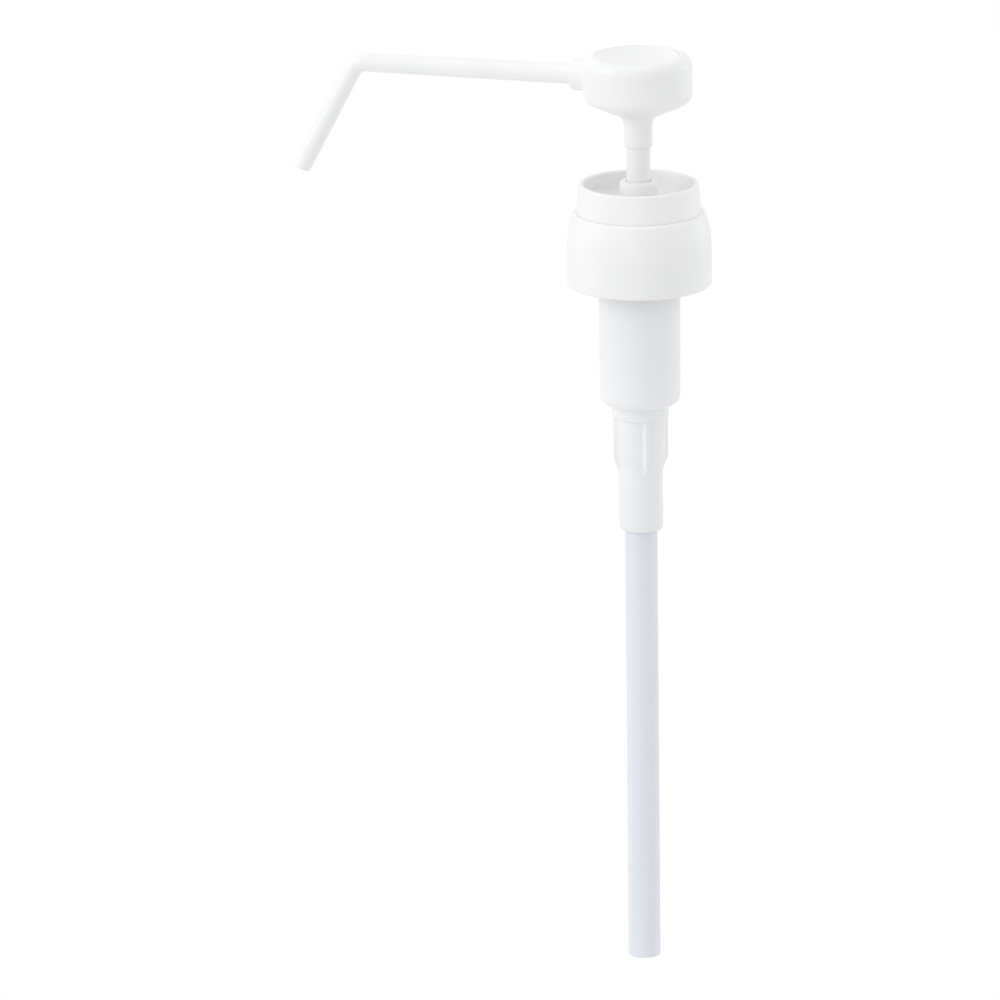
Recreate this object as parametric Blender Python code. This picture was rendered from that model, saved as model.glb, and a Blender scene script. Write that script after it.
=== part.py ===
"""A bottle-neck condiment pump: a thumb head with a long bent spout on a sprung piston pump.

Units are metres. +Z is up along the stem and the spout points along -X. The origin is on the stem's axis,
in the plane where the gasket lies on the bottle's rim.
"""

import math

import bmesh
import bpy
from mathutils import Matrix, Vector

# Clearances
SEAT_GAP = 0.0003  # pieces that rest on each other or press into each other
RUN_GAP = 0.0004  # pieces that turn or slide in each other
BOTTLE_GAP = 0.0002  # cap round the bottle's thread

# Bottle neck, gasket and screw cap
BOTTLE_THREAD_DIAMETER = 0.0374
GASKET_DIAMETER = 0.0360
GASKET_THICKNESS = 0.0015
CAP_DIAMETER = 0.0450
CAP_TOP_DIAMETER = 0.0418
CAP_HEIGHT = 0.0231
CAP_ROOF = 0.0020
CAP_SHOULDER = 0.0119
CAP_EDGE = 0.0015
CAP_LIP = 0.0008

# Collar, stem guide and wiper
COLLAR_BASE_DIAMETER = 0.0388
COLLAR_RIM_DIAMETER = 0.0372
COLLAR_HEIGHT = 0.0088
COLLAR_WALL = 0.0016
COLLAR_CUP_DEPTH = 0.0055
COLLAR_FLOOR = 0.0018
COLLAR_SKIRT_LENGTH = 0.0087
COLLAR_SKIRT_WALL = 0.0013
HUB_DIAMETER = 0.0120
HUB_RISE = 0.0010
SNAP_BEAD = 0.0005
SNAP_BEAD_HEIGHT = 0.0014
SNAP_BEAD_DROP = 0.0058
GUIDE_FLANGE = 0.0020
GUIDE_LENGTH = 0.0104
GUIDE_WALL = 0.0016
WIPER_HEIGHT = 0.0022
WIPER_WALL = 0.0017

# Barrel
BARREL_BORE = 0.0220
BARREL_DIAMETER = 0.0256
BARREL_LOW_DIAMETER = 0.0250
BARREL_DEPTH = 0.0558
BARREL_CORNER = 0.0035
BARREL_FLOOR_THICKNESS = 0.0026
BARREL_NECK_WALL = 0.0025
FLANGE_DIAMETER = 0.0355
FLANGE_THICKNESS = 0.0018
VENT_DIAMETER = 0.0016
VENT_DROP = 0.0050
VALVE_DIAMETER = 0.0153
VALVE_RING_DIAMETER = 0.0178
VALVE_RING_HEIGHT = 0.0039
VALVE_BORE = 0.0120
VALVE_LENGTH = 0.0185
SOCKET_DIAMETER = 0.0137
SOCKET_LENGTH = 0.0196
SOCKET_EDGE = 0.0012
SOCKET_STEP = 0.0036
INLET_BORE = 0.0052
INLET_WALL = 0.0015
RIB_COUNT = 4
RIB_DIAMETER = 0.0174
RIB_THICKNESS = 0.0018
RIB_LENGTH = 0.0134
RIB_TAPER = 0.0048
RIB_TURN = math.radians(24.8)

# Dip tube
TUBE_DIAMETER = 0.0101
TUBE_WALL = 0.0011
TUBE_LENGTH = 0.1591

# Stem, piston, spring and valves
STROKE = 0.0105
STEM_DIAMETER = 0.0074
STEM_BORE = 0.0044
SPIGOT_DIAMETER = 0.0060
PISTON_LENGTH = 0.0110
PISTON_FLANGE_DIAMETER = 0.0180
PISTON_FLANGE = 0.0014
PISTON_HUB_DIAMETER = 0.0124
SEAL_ROOT = 0.0013
SEAL_LIP = 0.0008
SEAL_LIP_DEPTH = 0.0024
SEAL_LIP_LAND = 0.0009
FOOT_DIAMETER = 0.0160
FOOT_FLANGE = 0.0018
FOOT_BOSS_DIAMETER = 0.0092
FOOT_LENGTH = 0.0064
FOOT_SOCKET = 0.0027
SPRING_WIRE = 0.0011
SPRING_DIAMETER = 0.0122  # at the middle of the wire
SPRING_TURNS = 8
SPRING_END_PITCH = 0.0026
CAGE_FLANGE = 0.0015
CAGE_WALL = 0.0022
CAGE_NOTCH_WIDTH = 0.0022
CAGE_NOTCH_HEIGHT = 0.0030
INLET_BALL_DIAMETER = 0.0080
INLET_LIFT = 0.0018
OUTLET_BALL_DIAMETER = 0.0058
OUTLET_LIFT = 0.0014
OUTLET_SEAT_BORE = 0.0034
OUTLET_SEAT_RIM = 0.0002
OUTLET_SEAT_CONE = 0.0010

# Thumb head
HEAD_DIAMETER = 0.0337
HEAD_RIM_HEIGHT = 0.0129
HEAD_EDGE = 0.0034
HEAD_RIM_ROUND = 0.0006
HEAD_CONE_HEIGHT = 0.0064
HEAD_WALL = 0.0020
HEAD_LEDGE = 0.0008
BOSS_DIAMETER = 0.0092
BOSS_STOP_GAP = 0.0002
BOSS_LENGTH = 0.0068
FLARE_HEIGHT = 0.0027
FLARE_WIDTH = 0.0007
CHAMBER_DIAMETER = 0.0072
CHAMBER_ROOF = 0.0015
CHAMBER_WALL = 0.0016
BALL_STOP_DIAMETER = 0.0020
BALL_STOP_RISE = 0.0002
COVER_DIAMETER = 0.0256
COVER_PLATE = 0.0010
COVER_EDGE_RISE = 0.0005
COVER_SPREAD = 0.0090
COVER_BORDER = 0.0012
COVER_SINK = 0.0003

# Spout
SPOUT_BELOW_TOP = 0.0071
SPOUT_REACH = 0.0911
SPOUT_DROP = 0.0392
SPOUT_BEND = math.radians(62.0)
SPOUT_BEND_RADIUS = 0.0050
SPOUT_ROOT_DIAMETER = 0.0064
SPOUT_DIAMETER = 0.0058
SPOUT_BORE = 0.0038
SPOUT_SPIGOT_DIAMETER = 0.0052
SPOUT_SPIGOT_START = 0.0085
SPOUT_SOCKET_WALL = 0.0008
SPOUT_COLLAR_DIAMETER = 0.0100
SPOUT_COLLAR_REACH = 0.0208
SPOUT_SEAL_THICKNESS = 0.0010

# Roundness
BIG_SIDES = 40
SMALL_SIDES = 24
ARC_STEPS = 4
CUTTER_SPARE = 0.002

# Radii
CAP_HOLE = BARREL_BORE / 2 + BARREL_NECK_WALL + RUN_GAP
SKIRT_OUTER = BARREL_BORE / 2 - SEAT_GAP
SKIRT_INNER = SKIRT_OUTER - COLLAR_SKIRT_WALL
HUB_BORE = STEM_DIAMETER / 2 + RUN_GAP
STEM_HOLE = STEM_DIAMETER / 2 + SEAT_GAP
SPIGOT_HOLE = SPIGOT_DIAMETER / 2 + SEAT_GAP
TUBE_HOLE = TUBE_DIAMETER / 2 + SEAT_GAP
WIPER_OUTER = STEM_HOLE + WIPER_WALL
SPOUT_HOLE = SPOUT_SPIGOT_DIAMETER / 2 + SEAT_GAP

# Heights from the bottle's rim up to the head
FLANGE_BOTTOM = GASKET_THICKNESS + SEAT_GAP
FLANGE_TOP = FLANGE_BOTTOM + FLANGE_THICKNESS
CAP_ROOF_UNDER = FLANGE_TOP + SEAT_GAP
CAP_TOP = CAP_ROOF_UNDER + CAP_ROOF
CAP_BOTTOM = CAP_TOP - CAP_HEIGHT
COLLAR_BOTTOM = CAP_TOP + SEAT_GAP
COLLAR_TOP = COLLAR_BOTTOM + COLLAR_HEIGHT
COLLAR_FLOOR_TOP = COLLAR_TOP - COLLAR_CUP_DEPTH
COLLAR_FLOOR_UNDER = COLLAR_FLOOR_TOP - COLLAR_FLOOR
HUB_TOP = COLLAR_TOP + HUB_RISE
BEAD_HEIGHT = COLLAR_FLOOR_UNDER - SNAP_BEAD_DROP
BARREL_TOP = COLLAR_FLOOR_UNDER - SEAT_GAP
GUIDE_TOP = COLLAR_FLOOR_UNDER - SEAT_GAP
GUIDE_BOTTOM = GUIDE_TOP - GUIDE_LENGTH
WIPER_BOTTOM = GUIDE_TOP - WIPER_HEIGHT
WIPER_SHELF = WIPER_BOTTOM - SEAT_GAP
BOSS_BOTTOM = HUB_TOP + BOSS_STOP_GAP + STROKE
FLARE_BOTTOM = BOSS_BOTTOM + BOSS_LENGTH
CONE_BOTTOM = FLARE_BOTTOM + FLARE_HEIGHT
RIM_BOTTOM = CONE_BOTTOM + HEAD_CONE_HEIGHT
HEAD_TOP = RIM_BOTTOM + HEAD_RIM_HEIGHT
SPOUT_HEIGHT = HEAD_TOP - SPOUT_BELOW_TOP

# Heights in the head, from the spout's bore down to the stem's top
CHAMBER_CEILING = SPOUT_HEIGHT + SPOUT_BORE / 2 + SEAT_GAP
CHAMBER_TOP = CHAMBER_CEILING + CHAMBER_ROOF
BALL_STOP = SPOUT_HEIGHT + BALL_STOP_RISE
OUTLET_BALL_HEIGHT = BALL_STOP - SEAT_GAP - OUTLET_LIFT - OUTLET_BALL_DIAMETER / 2
OUTLET_APEX = OUTLET_BALL_HEIGHT - (OUTLET_BALL_DIAMETER / 2 + SEAT_GAP) * math.sqrt(2.0)
OUTLET_CONE_BOTTOM = OUTLET_APEX + OUTLET_SEAT_BORE / 2
OUTLET_SEAT_TOP = OUTLET_CONE_BOTTOM + OUTLET_SEAT_CONE
OUTLET_SEAT_BOTTOM = OUTLET_CONE_BOTTOM - OUTLET_SEAT_RIM
STEM_TOP = OUTLET_SEAT_BOTTOM - SEAT_GAP
COVER_UNDER = max(CHAMBER_TOP, SPOUT_HEIGHT + SPOUT_HOLE + SPOUT_SOCKET_WALL) + SEAT_GAP
COVER_EDGE = COVER_UNDER + COVER_EDGE_RISE
COVER_SEAT = COVER_EDGE - SEAT_GAP

# Heights below the bottle's rim
PISTON_TOP = GUIDE_BOTTOM - SEAT_GAP
PISTON_BOTTOM = PISTON_TOP - PISTON_LENGTH
STEM_SHOULDER = PISTON_TOP + SEAT_GAP
FOOT_TOP = PISTON_BOTTOM - SEAT_GAP
FOOT_UNDER = FOOT_TOP - FOOT_FLANGE
FOOT_BOTTOM = FOOT_TOP - FOOT_LENGTH
FOOT_SOCKET_FLOOR = FOOT_TOP - FOOT_SOCKET
STEM_BOTTOM = FOOT_SOCKET_FLOOR + SEAT_GAP
BARREL_FLOOR = -BARREL_DEPTH + BARREL_FLOOR_THICKNESS
CAGE_BOTTOM_SEAT = BARREL_FLOOR + SEAT_GAP
CAGE_TOP = CAGE_BOTTOM_SEAT + CAGE_FLANGE
VALVE_CONE_TOP = BARREL_FLOOR - VALVE_LENGTH
VALVE_APEX = VALVE_CONE_TOP - VALVE_BORE / 2
VALVE_CONE_BOTTOM = VALVE_APEX + INLET_BORE / 2
INLET_BALL_HEIGHT = VALVE_APEX + (INLET_BALL_DIAMETER / 2 + SEAT_GAP) * math.sqrt(2.0)
CAGE_BOTTOM = INLET_BALL_HEIGHT + INLET_BALL_DIAMETER / 2 + INLET_LIFT + SEAT_GAP
SOCKET_TOP = VALVE_CONE_BOTTOM - INLET_WALL
SOCKET_BOTTOM = SOCKET_TOP - SOCKET_LENGTH
TUBE_TOP = SOCKET_TOP - SEAT_GAP
TUBE_BOTTOM = TUBE_TOP - TUBE_LENGTH
SPRING_TOP = FOOT_UNDER - SEAT_GAP - SPRING_WIRE / 2
SPRING_BOTTOM = CAGE_TOP + SEAT_GAP + SPRING_WIRE / 2

finishes = {}


def finish(name, colour, roughness, metallic=0.0):
    """One plain material for a family of pieces, kept for the pieces that follow."""
    material = bpy.data.materials.new(name)
    material.use_nodes = True
    shader = material.node_tree.nodes["Principled BSDF"]
    shader.inputs["Base Color"].default_value = (*colour, 1.0)
    shader.inputs["Roughness"].default_value = roughness
    shader.inputs["Metallic"].default_value = metallic
    finishes[name] = material


def arc(centre_r, centre_z, radius, start, end, steps=ARC_STEPS):
    """Points on a circular arc in the radius and height plane, angles in degrees from the +r direction."""
    turns = [math.radians(start + (end - start) * k / steps) for k in range(steps + 1)]
    return [(centre_r + radius * math.cos(t), centre_z + radius * math.sin(t)) for t in turns]


def add_piece(name, mesh, surface, parent=None):
    """Link a mesh as a named piece, smooth on its round faces, under the empty of the body it moves with."""
    piece = bpy.data.objects.new(name, mesh)
    bpy.context.collection.objects.link(piece)
    mesh.materials.append(finishes[surface])
    mesh.shade_smooth()
    mesh.set_sharp_from_angle(angle=math.radians(30.0))
    piece.parent = parent
    return piece


def as_helper(name, mesh):
    """Link a mesh that only shapes another piece."""
    helper = bpy.data.objects.new(name, mesh)
    bpy.context.collection.objects.link(helper)
    helper.hide_render = True
    helper.display_type = "WIRE"
    return helper


def shape_with(piece, helper, operation):
    """Cut a helper out of a piece, or join it to the piece."""
    step = piece.modifiers.new(helper.name, "BOOLEAN")
    step.operation = operation
    step.solver = "EXACT"
    step.object = helper


def finished_mesh(name, form):
    """A mesh from a bmesh whose doubles are merged and whose faces point out."""
    bmesh.ops.remove_doubles(form, verts=form.verts, dist=1e-7)
    bmesh.ops.recalc_face_normals(form, faces=form.faces)
    mesh = bpy.data.meshes.new(name)
    form.to_mesh(mesh)
    form.free()
    return mesh


def turned(name, profile, sides):
    """Spin (radius, height) points about Z: a closed ring, or a solid that starts and ends on the axis."""
    form = bmesh.new()
    points = [form.verts.new((max(r, 0.0), 0.0, z)) for r, z in profile]
    on_axis = profile[0][0] < 1e-9 and profile[-1][0] < 1e-9
    ends = points[1:] if on_axis else points[1:] + points[:1]
    edges = [form.edges.new(pair) for pair in zip(points, ends)]
    bmesh.ops.spin(
        form, geom=points + edges, cent=(0.0, 0.0, 0.0), axis=(0.0, 0.0, 1.0), angle=math.tau, steps=sides
    )
    return finished_mesh(name, form)


def rod(name, radius, start_x, end_x, height, sides=SMALL_SIDES):
    """A closed cylinder along X at the given height."""
    form = bmesh.new()
    middle = Vector(((start_x + end_x) / 2, 0.0, height))
    place = Matrix.Translation(middle) @ Matrix.Rotation(math.pi / 2, 4, "Y")
    bmesh.ops.create_cone(
        form, cap_ends=True, segments=sides, radius1=radius, radius2=radius,
        depth=abs(end_x - start_x), matrix=place,
    )
    return finished_mesh(name, form)


def block(name, size, centre):
    """A closed box of the given size."""
    form = bmesh.new()
    place = Matrix.Translation(Vector(centre)) @ Matrix.Diagonal((*size, 1.0))
    bmesh.ops.create_cube(form, size=1.0, matrix=place)
    return finished_mesh(name, form)


def fins(name, outline, thickness, count, turn):
    """Flat plates round Z, each an outline of (radius, height) points given a thickness."""
    form = bmesh.new()
    for k in range(count):
        points = [form.verts.new((r, -thickness / 2, z)) for r, z in outline]
        plate = form.faces.new(points)
        grown = bmesh.ops.extrude_face_region(form, geom=[plate])["geom"]
        moved = [part for part in grown if isinstance(part, bmesh.types.BMVert)]
        bmesh.ops.translate(form, verts=moved, vec=(0.0, thickness, 0.0))
        spin = Matrix.Rotation(turn + k * math.tau / count, 3, "Z")
        bmesh.ops.rotate(form, verts=points + moved, cent=(0.0, 0.0, 0.0), matrix=spin)
    return finished_mesh(name, form)


def ball(name, diameter, height, surface, parent):
    """A valve ball with its origin at its middle."""
    form = bmesh.new()
    bmesh.ops.create_icosphere(form, subdivisions=3, radius=diameter / 2)
    piece = add_piece(name, finished_mesh(name, form), surface, parent)
    piece.location = (0.0, 0.0, height)


def neck_gasket(parent):
    """Flat ring between the barrel's flange and the bottle's rim."""
    inner, outer = BARREL_DIAMETER / 2 + SEAT_GAP, GASKET_DIAMETER / 2
    profile = [(outer, GASKET_THICKNESS), (outer, 0.0), (inner, 0.0), (inner, GASKET_THICKNESS)]
    add_piece("neck_gasket", turned("neck_gasket", profile, BIG_SIDES), "soft seal", parent)


def closure_cap(parent):
    """Smooth screw cap: a flat roof round the barrel's neck, a swelling shoulder and a plain wall."""
    wall, top = CAP_DIAMETER / 2, CAP_TOP_DIAMETER / 2
    bore = BOTTLE_THREAD_DIAMETER / 2 + BOTTLE_GAP
    swell, rise = wall - top, CAP_SHOULDER - CAP_EDGE
    sweep = (rise * rise + swell * swell) / (2 * swell)
    reach = math.degrees(math.asin(rise / sweep))
    profile = [(CAP_HOLE, CAP_TOP)]
    profile += arc(top - CAP_EDGE, CAP_TOP - CAP_EDGE, CAP_EDGE, 90, 15, 3)
    profile += arc(wall - sweep, CAP_TOP - CAP_SHOULDER, sweep, reach, 0)
    profile += arc(wall - CAP_LIP, CAP_BOTTOM + CAP_LIP, CAP_LIP, 0, -90, 2)
    profile += [(bore, CAP_BOTTOM), (bore, CAP_ROOF_UNDER), (CAP_HOLE, CAP_ROOF_UNDER)]
    add_piece("closure_cap", turned("closure_cap", profile, BIG_SIDES), "white plastic", parent)


def collar(parent):
    """Cup round the stem: a leaning wall, a floor with a hub and a skirt that snaps into the barrel."""
    base, rim = COLLAR_BASE_DIAMETER / 2, COLLAR_RIM_DIAMETER / 2
    hub, round_rim = HUB_DIAMETER / 2, COLLAR_WALL / 2
    hub_round = (hub - HUB_BORE) / 2
    bead_top, bead_low = BEAD_HEIGHT + SNAP_BEAD_HEIGHT / 2, BEAD_HEIGHT - SNAP_BEAD_HEIGHT / 2
    profile = [(base, COLLAR_BOTTOM)]
    profile += arc(rim - round_rim, COLLAR_TOP - round_rim, round_rim, 0, 180)
    profile += [(rim - COLLAR_WALL, COLLAR_FLOOR_TOP), (hub, COLLAR_FLOOR_TOP)]
    profile += arc(hub - hub_round, HUB_TOP - hub_round, hub_round, 0, 180, 3)
    profile += [(HUB_BORE, COLLAR_FLOOR_UNDER), (SKIRT_INNER, COLLAR_FLOOR_UNDER)]
    skirt_bottom = COLLAR_FLOOR_UNDER - COLLAR_SKIRT_LENGTH
    profile += [(SKIRT_INNER, skirt_bottom), (SKIRT_OUTER, skirt_bottom)]
    profile += [(SKIRT_OUTER, bead_low), (SKIRT_OUTER + SNAP_BEAD, BEAD_HEIGHT), (SKIRT_OUTER, bead_top)]
    profile += [(SKIRT_OUTER, COLLAR_FLOOR_UNDER), (base - COLLAR_WALL, COLLAR_FLOOR_UNDER)]
    profile += [(base - COLLAR_WALL, COLLAR_BOTTOM)]
    add_piece("collar", turned("collar", profile, BIG_SIDES), "white plastic", parent)


def stem_guide(parent):
    """Bush pressed into the collar's skirt: it guides the stem, holds the wiper and stops the piston."""
    flange, pocket = SKIRT_INNER - SEAT_GAP, WIPER_OUTER + SEAT_GAP
    sleeve = STEM_HOLE + GUIDE_WALL
    pocket_wall = pocket + GUIDE_WALL
    profile = [(pocket, GUIDE_TOP), (flange, GUIDE_TOP), (flange, GUIDE_TOP - GUIDE_FLANGE)]
    profile += [(pocket_wall, GUIDE_TOP - GUIDE_FLANGE), (pocket_wall, WIPER_SHELF - GUIDE_WALL)]
    profile += [(sleeve, WIPER_SHELF - GUIDE_WALL), (sleeve, GUIDE_BOTTOM), (STEM_HOLE, GUIDE_BOTTOM)]
    profile += [(STEM_HOLE, WIPER_SHELF), (pocket, WIPER_SHELF)]
    add_piece("stem_guide", turned("stem_guide", profile, SMALL_SIDES), "natural plastic", parent)


def stem_wiper(parent):
    """Ring with a lip towards the stem."""
    lip = WIPER_HEIGHT / 3
    inner, relieved = STEM_HOLE, STEM_HOLE + WIPER_WALL / 3
    profile = [(inner, GUIDE_TOP), (WIPER_OUTER, GUIDE_TOP), (WIPER_OUTER, WIPER_BOTTOM)]
    profile += [(inner, WIPER_BOTTOM), (relieved, WIPER_BOTTOM + lip), (relieved, GUIDE_TOP - lip)]
    add_piece("stem_wiper", turned("stem_wiper", profile, SMALL_SIDES), "soft seal", parent)


def barrel(parent):
    """Stepped pump cylinder: neck, flange, drafted wall, round corner, ribbed valve tube and tube socket."""
    bore, neck = BARREL_BORE / 2, BARREL_BORE / 2 + BARREL_NECK_WALL
    wall, low = BARREL_DIAMETER / 2, BARREL_LOW_DIAMETER / 2
    valve, socket = VALVE_DIAMETER / 2, SOCKET_DIAMETER / 2
    flange = FLANGE_DIAMETER / 2
    groove, spread = bore + SNAP_BEAD, SNAP_BEAD_HEIGHT / 2 + SEAT_GAP
    ring, ring_end = VALVE_RING_DIAMETER / 2, -BARREL_DEPTH - VALVE_RING_HEIGHT
    profile = [(bore, BARREL_TOP), (neck, BARREL_TOP), (neck, FLANGE_TOP)]
    profile += [(flange, FLANGE_TOP), (flange, FLANGE_BOTTOM), (wall, FLANGE_BOTTOM)]
    profile += arc(low - BARREL_CORNER, -BARREL_DEPTH + BARREL_CORNER, BARREL_CORNER, 0, -90)
    profile += [(ring, -BARREL_DEPTH), (ring, ring_end), (valve, ring_end)]
    profile += [(valve, VALVE_CONE_TOP), (socket, VALVE_CONE_TOP - SOCKET_STEP)]
    profile += arc(socket - SOCKET_EDGE, SOCKET_BOTTOM + SOCKET_EDGE, SOCKET_EDGE, 0, -90, 3)
    profile += [(TUBE_HOLE, SOCKET_BOTTOM), (TUBE_HOLE, SOCKET_TOP), (INLET_BORE / 2, SOCKET_TOP)]
    profile += [(INLET_BORE / 2, VALVE_CONE_BOTTOM), (VALVE_BORE / 2, VALVE_CONE_TOP)]
    profile += [(VALVE_BORE / 2, BARREL_FLOOR), (bore, BARREL_FLOOR)]
    profile += [(bore, BEAD_HEIGHT - spread), (groove, BEAD_HEIGHT), (bore, BEAD_HEIGHT + spread)]
    piece = add_piece("barrel", turned("barrel", profile, BIG_SIDES), "natural plastic", parent)
    root = (socket + VALVE_BORE / 2) / 2
    rib = RIB_DIAMETER / 2
    rib_top, straight_end = ring_end + VALVE_RING_HEIGHT / 2, ring_end - RIB_LENGTH
    taper_end = straight_end - RIB_TAPER * (rib - root) / (rib - socket)
    outline = [(root, rib_top), (rib, rib_top), (rib, straight_end), (root, taper_end)]
    ribs = fins("barrel_ribs", outline, RIB_THICKNESS, RIB_COUNT, RIB_TURN)
    shape_with(piece, as_helper("barrel_ribs", ribs), "UNION")
    vent_height = FLANGE_BOTTOM - VENT_DROP
    vent = rod("barrel_vent", VENT_DIAMETER / 2, bore - CUTTER_SPARE, wall + CUTTER_SPARE, vent_height, 12)
    shape_with(piece, as_helper("barrel_vent", vent), "DIFFERENCE")


def dip_tube(parent):
    """Plain tube pressed into the barrel's socket, cut square."""
    outer, inner = TUBE_DIAMETER / 2, TUBE_DIAMETER / 2 - TUBE_WALL
    profile = [(outer, TUBE_TOP), (outer, TUBE_BOTTOM), (inner, TUBE_BOTTOM), (inner, TUBE_TOP)]
    add_piece("dip_tube", turned("dip_tube", profile, SMALL_SIDES), "tube plastic", parent)


def valve_cage(parent):
    """Spring seat on the barrel's floor, with a notched tube that keeps the inlet ball in."""
    outer, tube = BARREL_BORE / 2 - SEAT_GAP, VALVE_BORE / 2 - SEAT_GAP
    bore = tube - CAGE_WALL
    profile = [(bore, CAGE_TOP), (outer, CAGE_TOP), (outer, CAGE_BOTTOM_SEAT), (tube, CAGE_BOTTOM_SEAT)]
    profile += [(tube, CAGE_BOTTOM), (bore, CAGE_BOTTOM)]
    piece = add_piece("valve_cage", turned("valve_cage", profile, SMALL_SIDES), "natural plastic", parent)
    height = 2 * CAGE_NOTCH_HEIGHT
    width, length = CAGE_NOTCH_WIDTH, 2 * tube + CUTTER_SPARE
    for name, size in (("cage_slot_x", (length, width, height)), ("cage_slot_y", (width, length, height))):
        shape_with(piece, as_helper(name, block(name, size, (0.0, 0.0, CAGE_BOTTOM))), "DIFFERENCE")


def spring_route():
    """Points along the spring's wire: close turns at both ends and an even pitch between them."""
    per_turn, radius = 10, SPRING_DIAMETER / 2
    middle_pitch = (SPRING_TOP - SPRING_BOTTOM - 2 * SPRING_END_PITCH) / (SPRING_TURNS - 2)
    route = []
    for k in range(SPRING_TURNS * per_turn + 1):
        turn = k / per_turn
        close = min(turn, 1.0) + max(turn - (SPRING_TURNS - 1), 0.0)
        height = SPRING_BOTTOM + close * SPRING_END_PITCH + (turn - close) * middle_pitch
        angle = turn * math.tau
        route.append(Vector((radius * math.cos(angle), radius * math.sin(angle), height)))
    apart = [(a - b).length for i, a in enumerate(route) for b in route[i + per_turn // 2 :]]
    print(f"return_spring: least gap to itself {(min(apart) - SPRING_WIRE) * 1000:.2f} mm")
    return route


def return_spring(parent):
    """Compression spring as one unbroken wire."""
    route = spring_route()
    wire = bpy.data.curves.new("return_spring", "CURVE")
    wire.dimensions = "3D"
    wire.bevel_depth = SPRING_WIRE / 2
    wire.bevel_resolution = 1
    wire.use_fill_caps = True
    line = wire.splines.new("POLY")
    line.points.add(len(route) - 1)
    for point, place in zip(line.points, route):
        point.co = (*place, 1.0)
    wire.materials.append(finishes["spring steel"])
    piece = bpy.data.objects.new("return_spring", wire)
    bpy.context.collection.objects.link(piece)
    piece.parent = parent


def piston(parent):
    """Bobbin on the stem's spigot."""
    rim, hub = PISTON_FLANGE_DIAMETER / 2, PISTON_HUB_DIAMETER / 2
    upper, lower = PISTON_TOP - PISTON_FLANGE, PISTON_BOTTOM + PISTON_FLANGE
    profile = [(SPIGOT_HOLE, PISTON_TOP), (rim, PISTON_TOP), (rim, upper), (hub, upper)]
    profile += [(hub, lower), (rim, lower), (rim, PISTON_BOTTOM), (SPIGOT_HOLE, PISTON_BOTTOM)]
    add_piece("piston", turned("piston", profile, SMALL_SIDES), "natural plastic", parent)


def piston_seal(parent):
    """Double-lipped ring: each end has a lip on the bore and a groove behind it."""
    inner, outer = PISTON_HUB_DIAMETER / 2 + SEAT_GAP, BARREL_BORE / 2 - SEAT_GAP
    root, back = inner + SEAL_ROOT, outer - SEAL_LIP
    groove, waist = (root + back) / 2, outer - SEAL_LIP * 1.2
    top = PISTON_TOP - PISTON_FLANGE - SEAT_GAP
    bottom = PISTON_BOTTOM + PISTON_FLANGE + SEAT_GAP
    half = [(inner, 0.0), (root, 0.0), (groove, SEAL_LIP_DEPTH), (back, 0.0), (outer, 0.0)]
    half += [(outer, SEAL_LIP_LAND), (waist, SEAL_LIP_DEPTH)]
    profile = [(r, top - depth) for r, depth in half] + [(r, bottom + depth) for r, depth in reversed(half)]
    add_piece("piston_seal", turned("piston_seal", profile, SMALL_SIDES), "soft seal", parent)


def piston_foot(parent):
    """Plug on the spigot's end: its flange holds the piston up and seats the spring."""
    rim, boss = FOOT_DIAMETER / 2, FOOT_BOSS_DIAMETER / 2
    profile = [(SPIGOT_HOLE, FOOT_TOP), (rim, FOOT_TOP), (rim, FOOT_UNDER), (boss, FOOT_UNDER)]
    profile += [(boss, FOOT_BOTTOM), (STEM_BORE / 2, FOOT_BOTTOM), (STEM_BORE / 2, FOOT_SOCKET_FLOOR)]
    profile += [(SPIGOT_HOLE, FOOT_SOCKET_FLOOR)]
    add_piece("piston_foot", turned("piston_foot", profile, SMALL_SIDES), "natural plastic", parent)


def stem(parent):
    """Hollow rod with a spigot for the piston."""
    rod_radius, spigot, bore = STEM_DIAMETER / 2, SPIGOT_DIAMETER / 2, STEM_BORE / 2
    profile = [(bore, STEM_TOP), (rod_radius, STEM_TOP), (rod_radius, STEM_SHOULDER), (spigot, STEM_SHOULDER)]
    profile += [(spigot, STEM_BOTTOM), (bore, STEM_BOTTOM)]
    add_piece("stem", turned("stem", profile, SMALL_SIDES), "white plastic", parent)


def outlet_seat(parent):
    """Soft ring on the stem's top, with a cone for the outlet ball."""
    outer, bore = STEM_DIAMETER / 2, OUTLET_SEAT_BORE / 2
    profile = [(bore + OUTLET_SEAT_CONE, OUTLET_SEAT_TOP), (outer, OUTLET_SEAT_TOP)]
    profile += [(outer, OUTLET_SEAT_BOTTOM), (bore, OUTLET_SEAT_BOTTOM), (bore, OUTLET_CONE_BOTTOM)]
    add_piece("outlet_seat", turned("outlet_seat", profile, SMALL_SIDES), "soft seal", parent)


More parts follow.
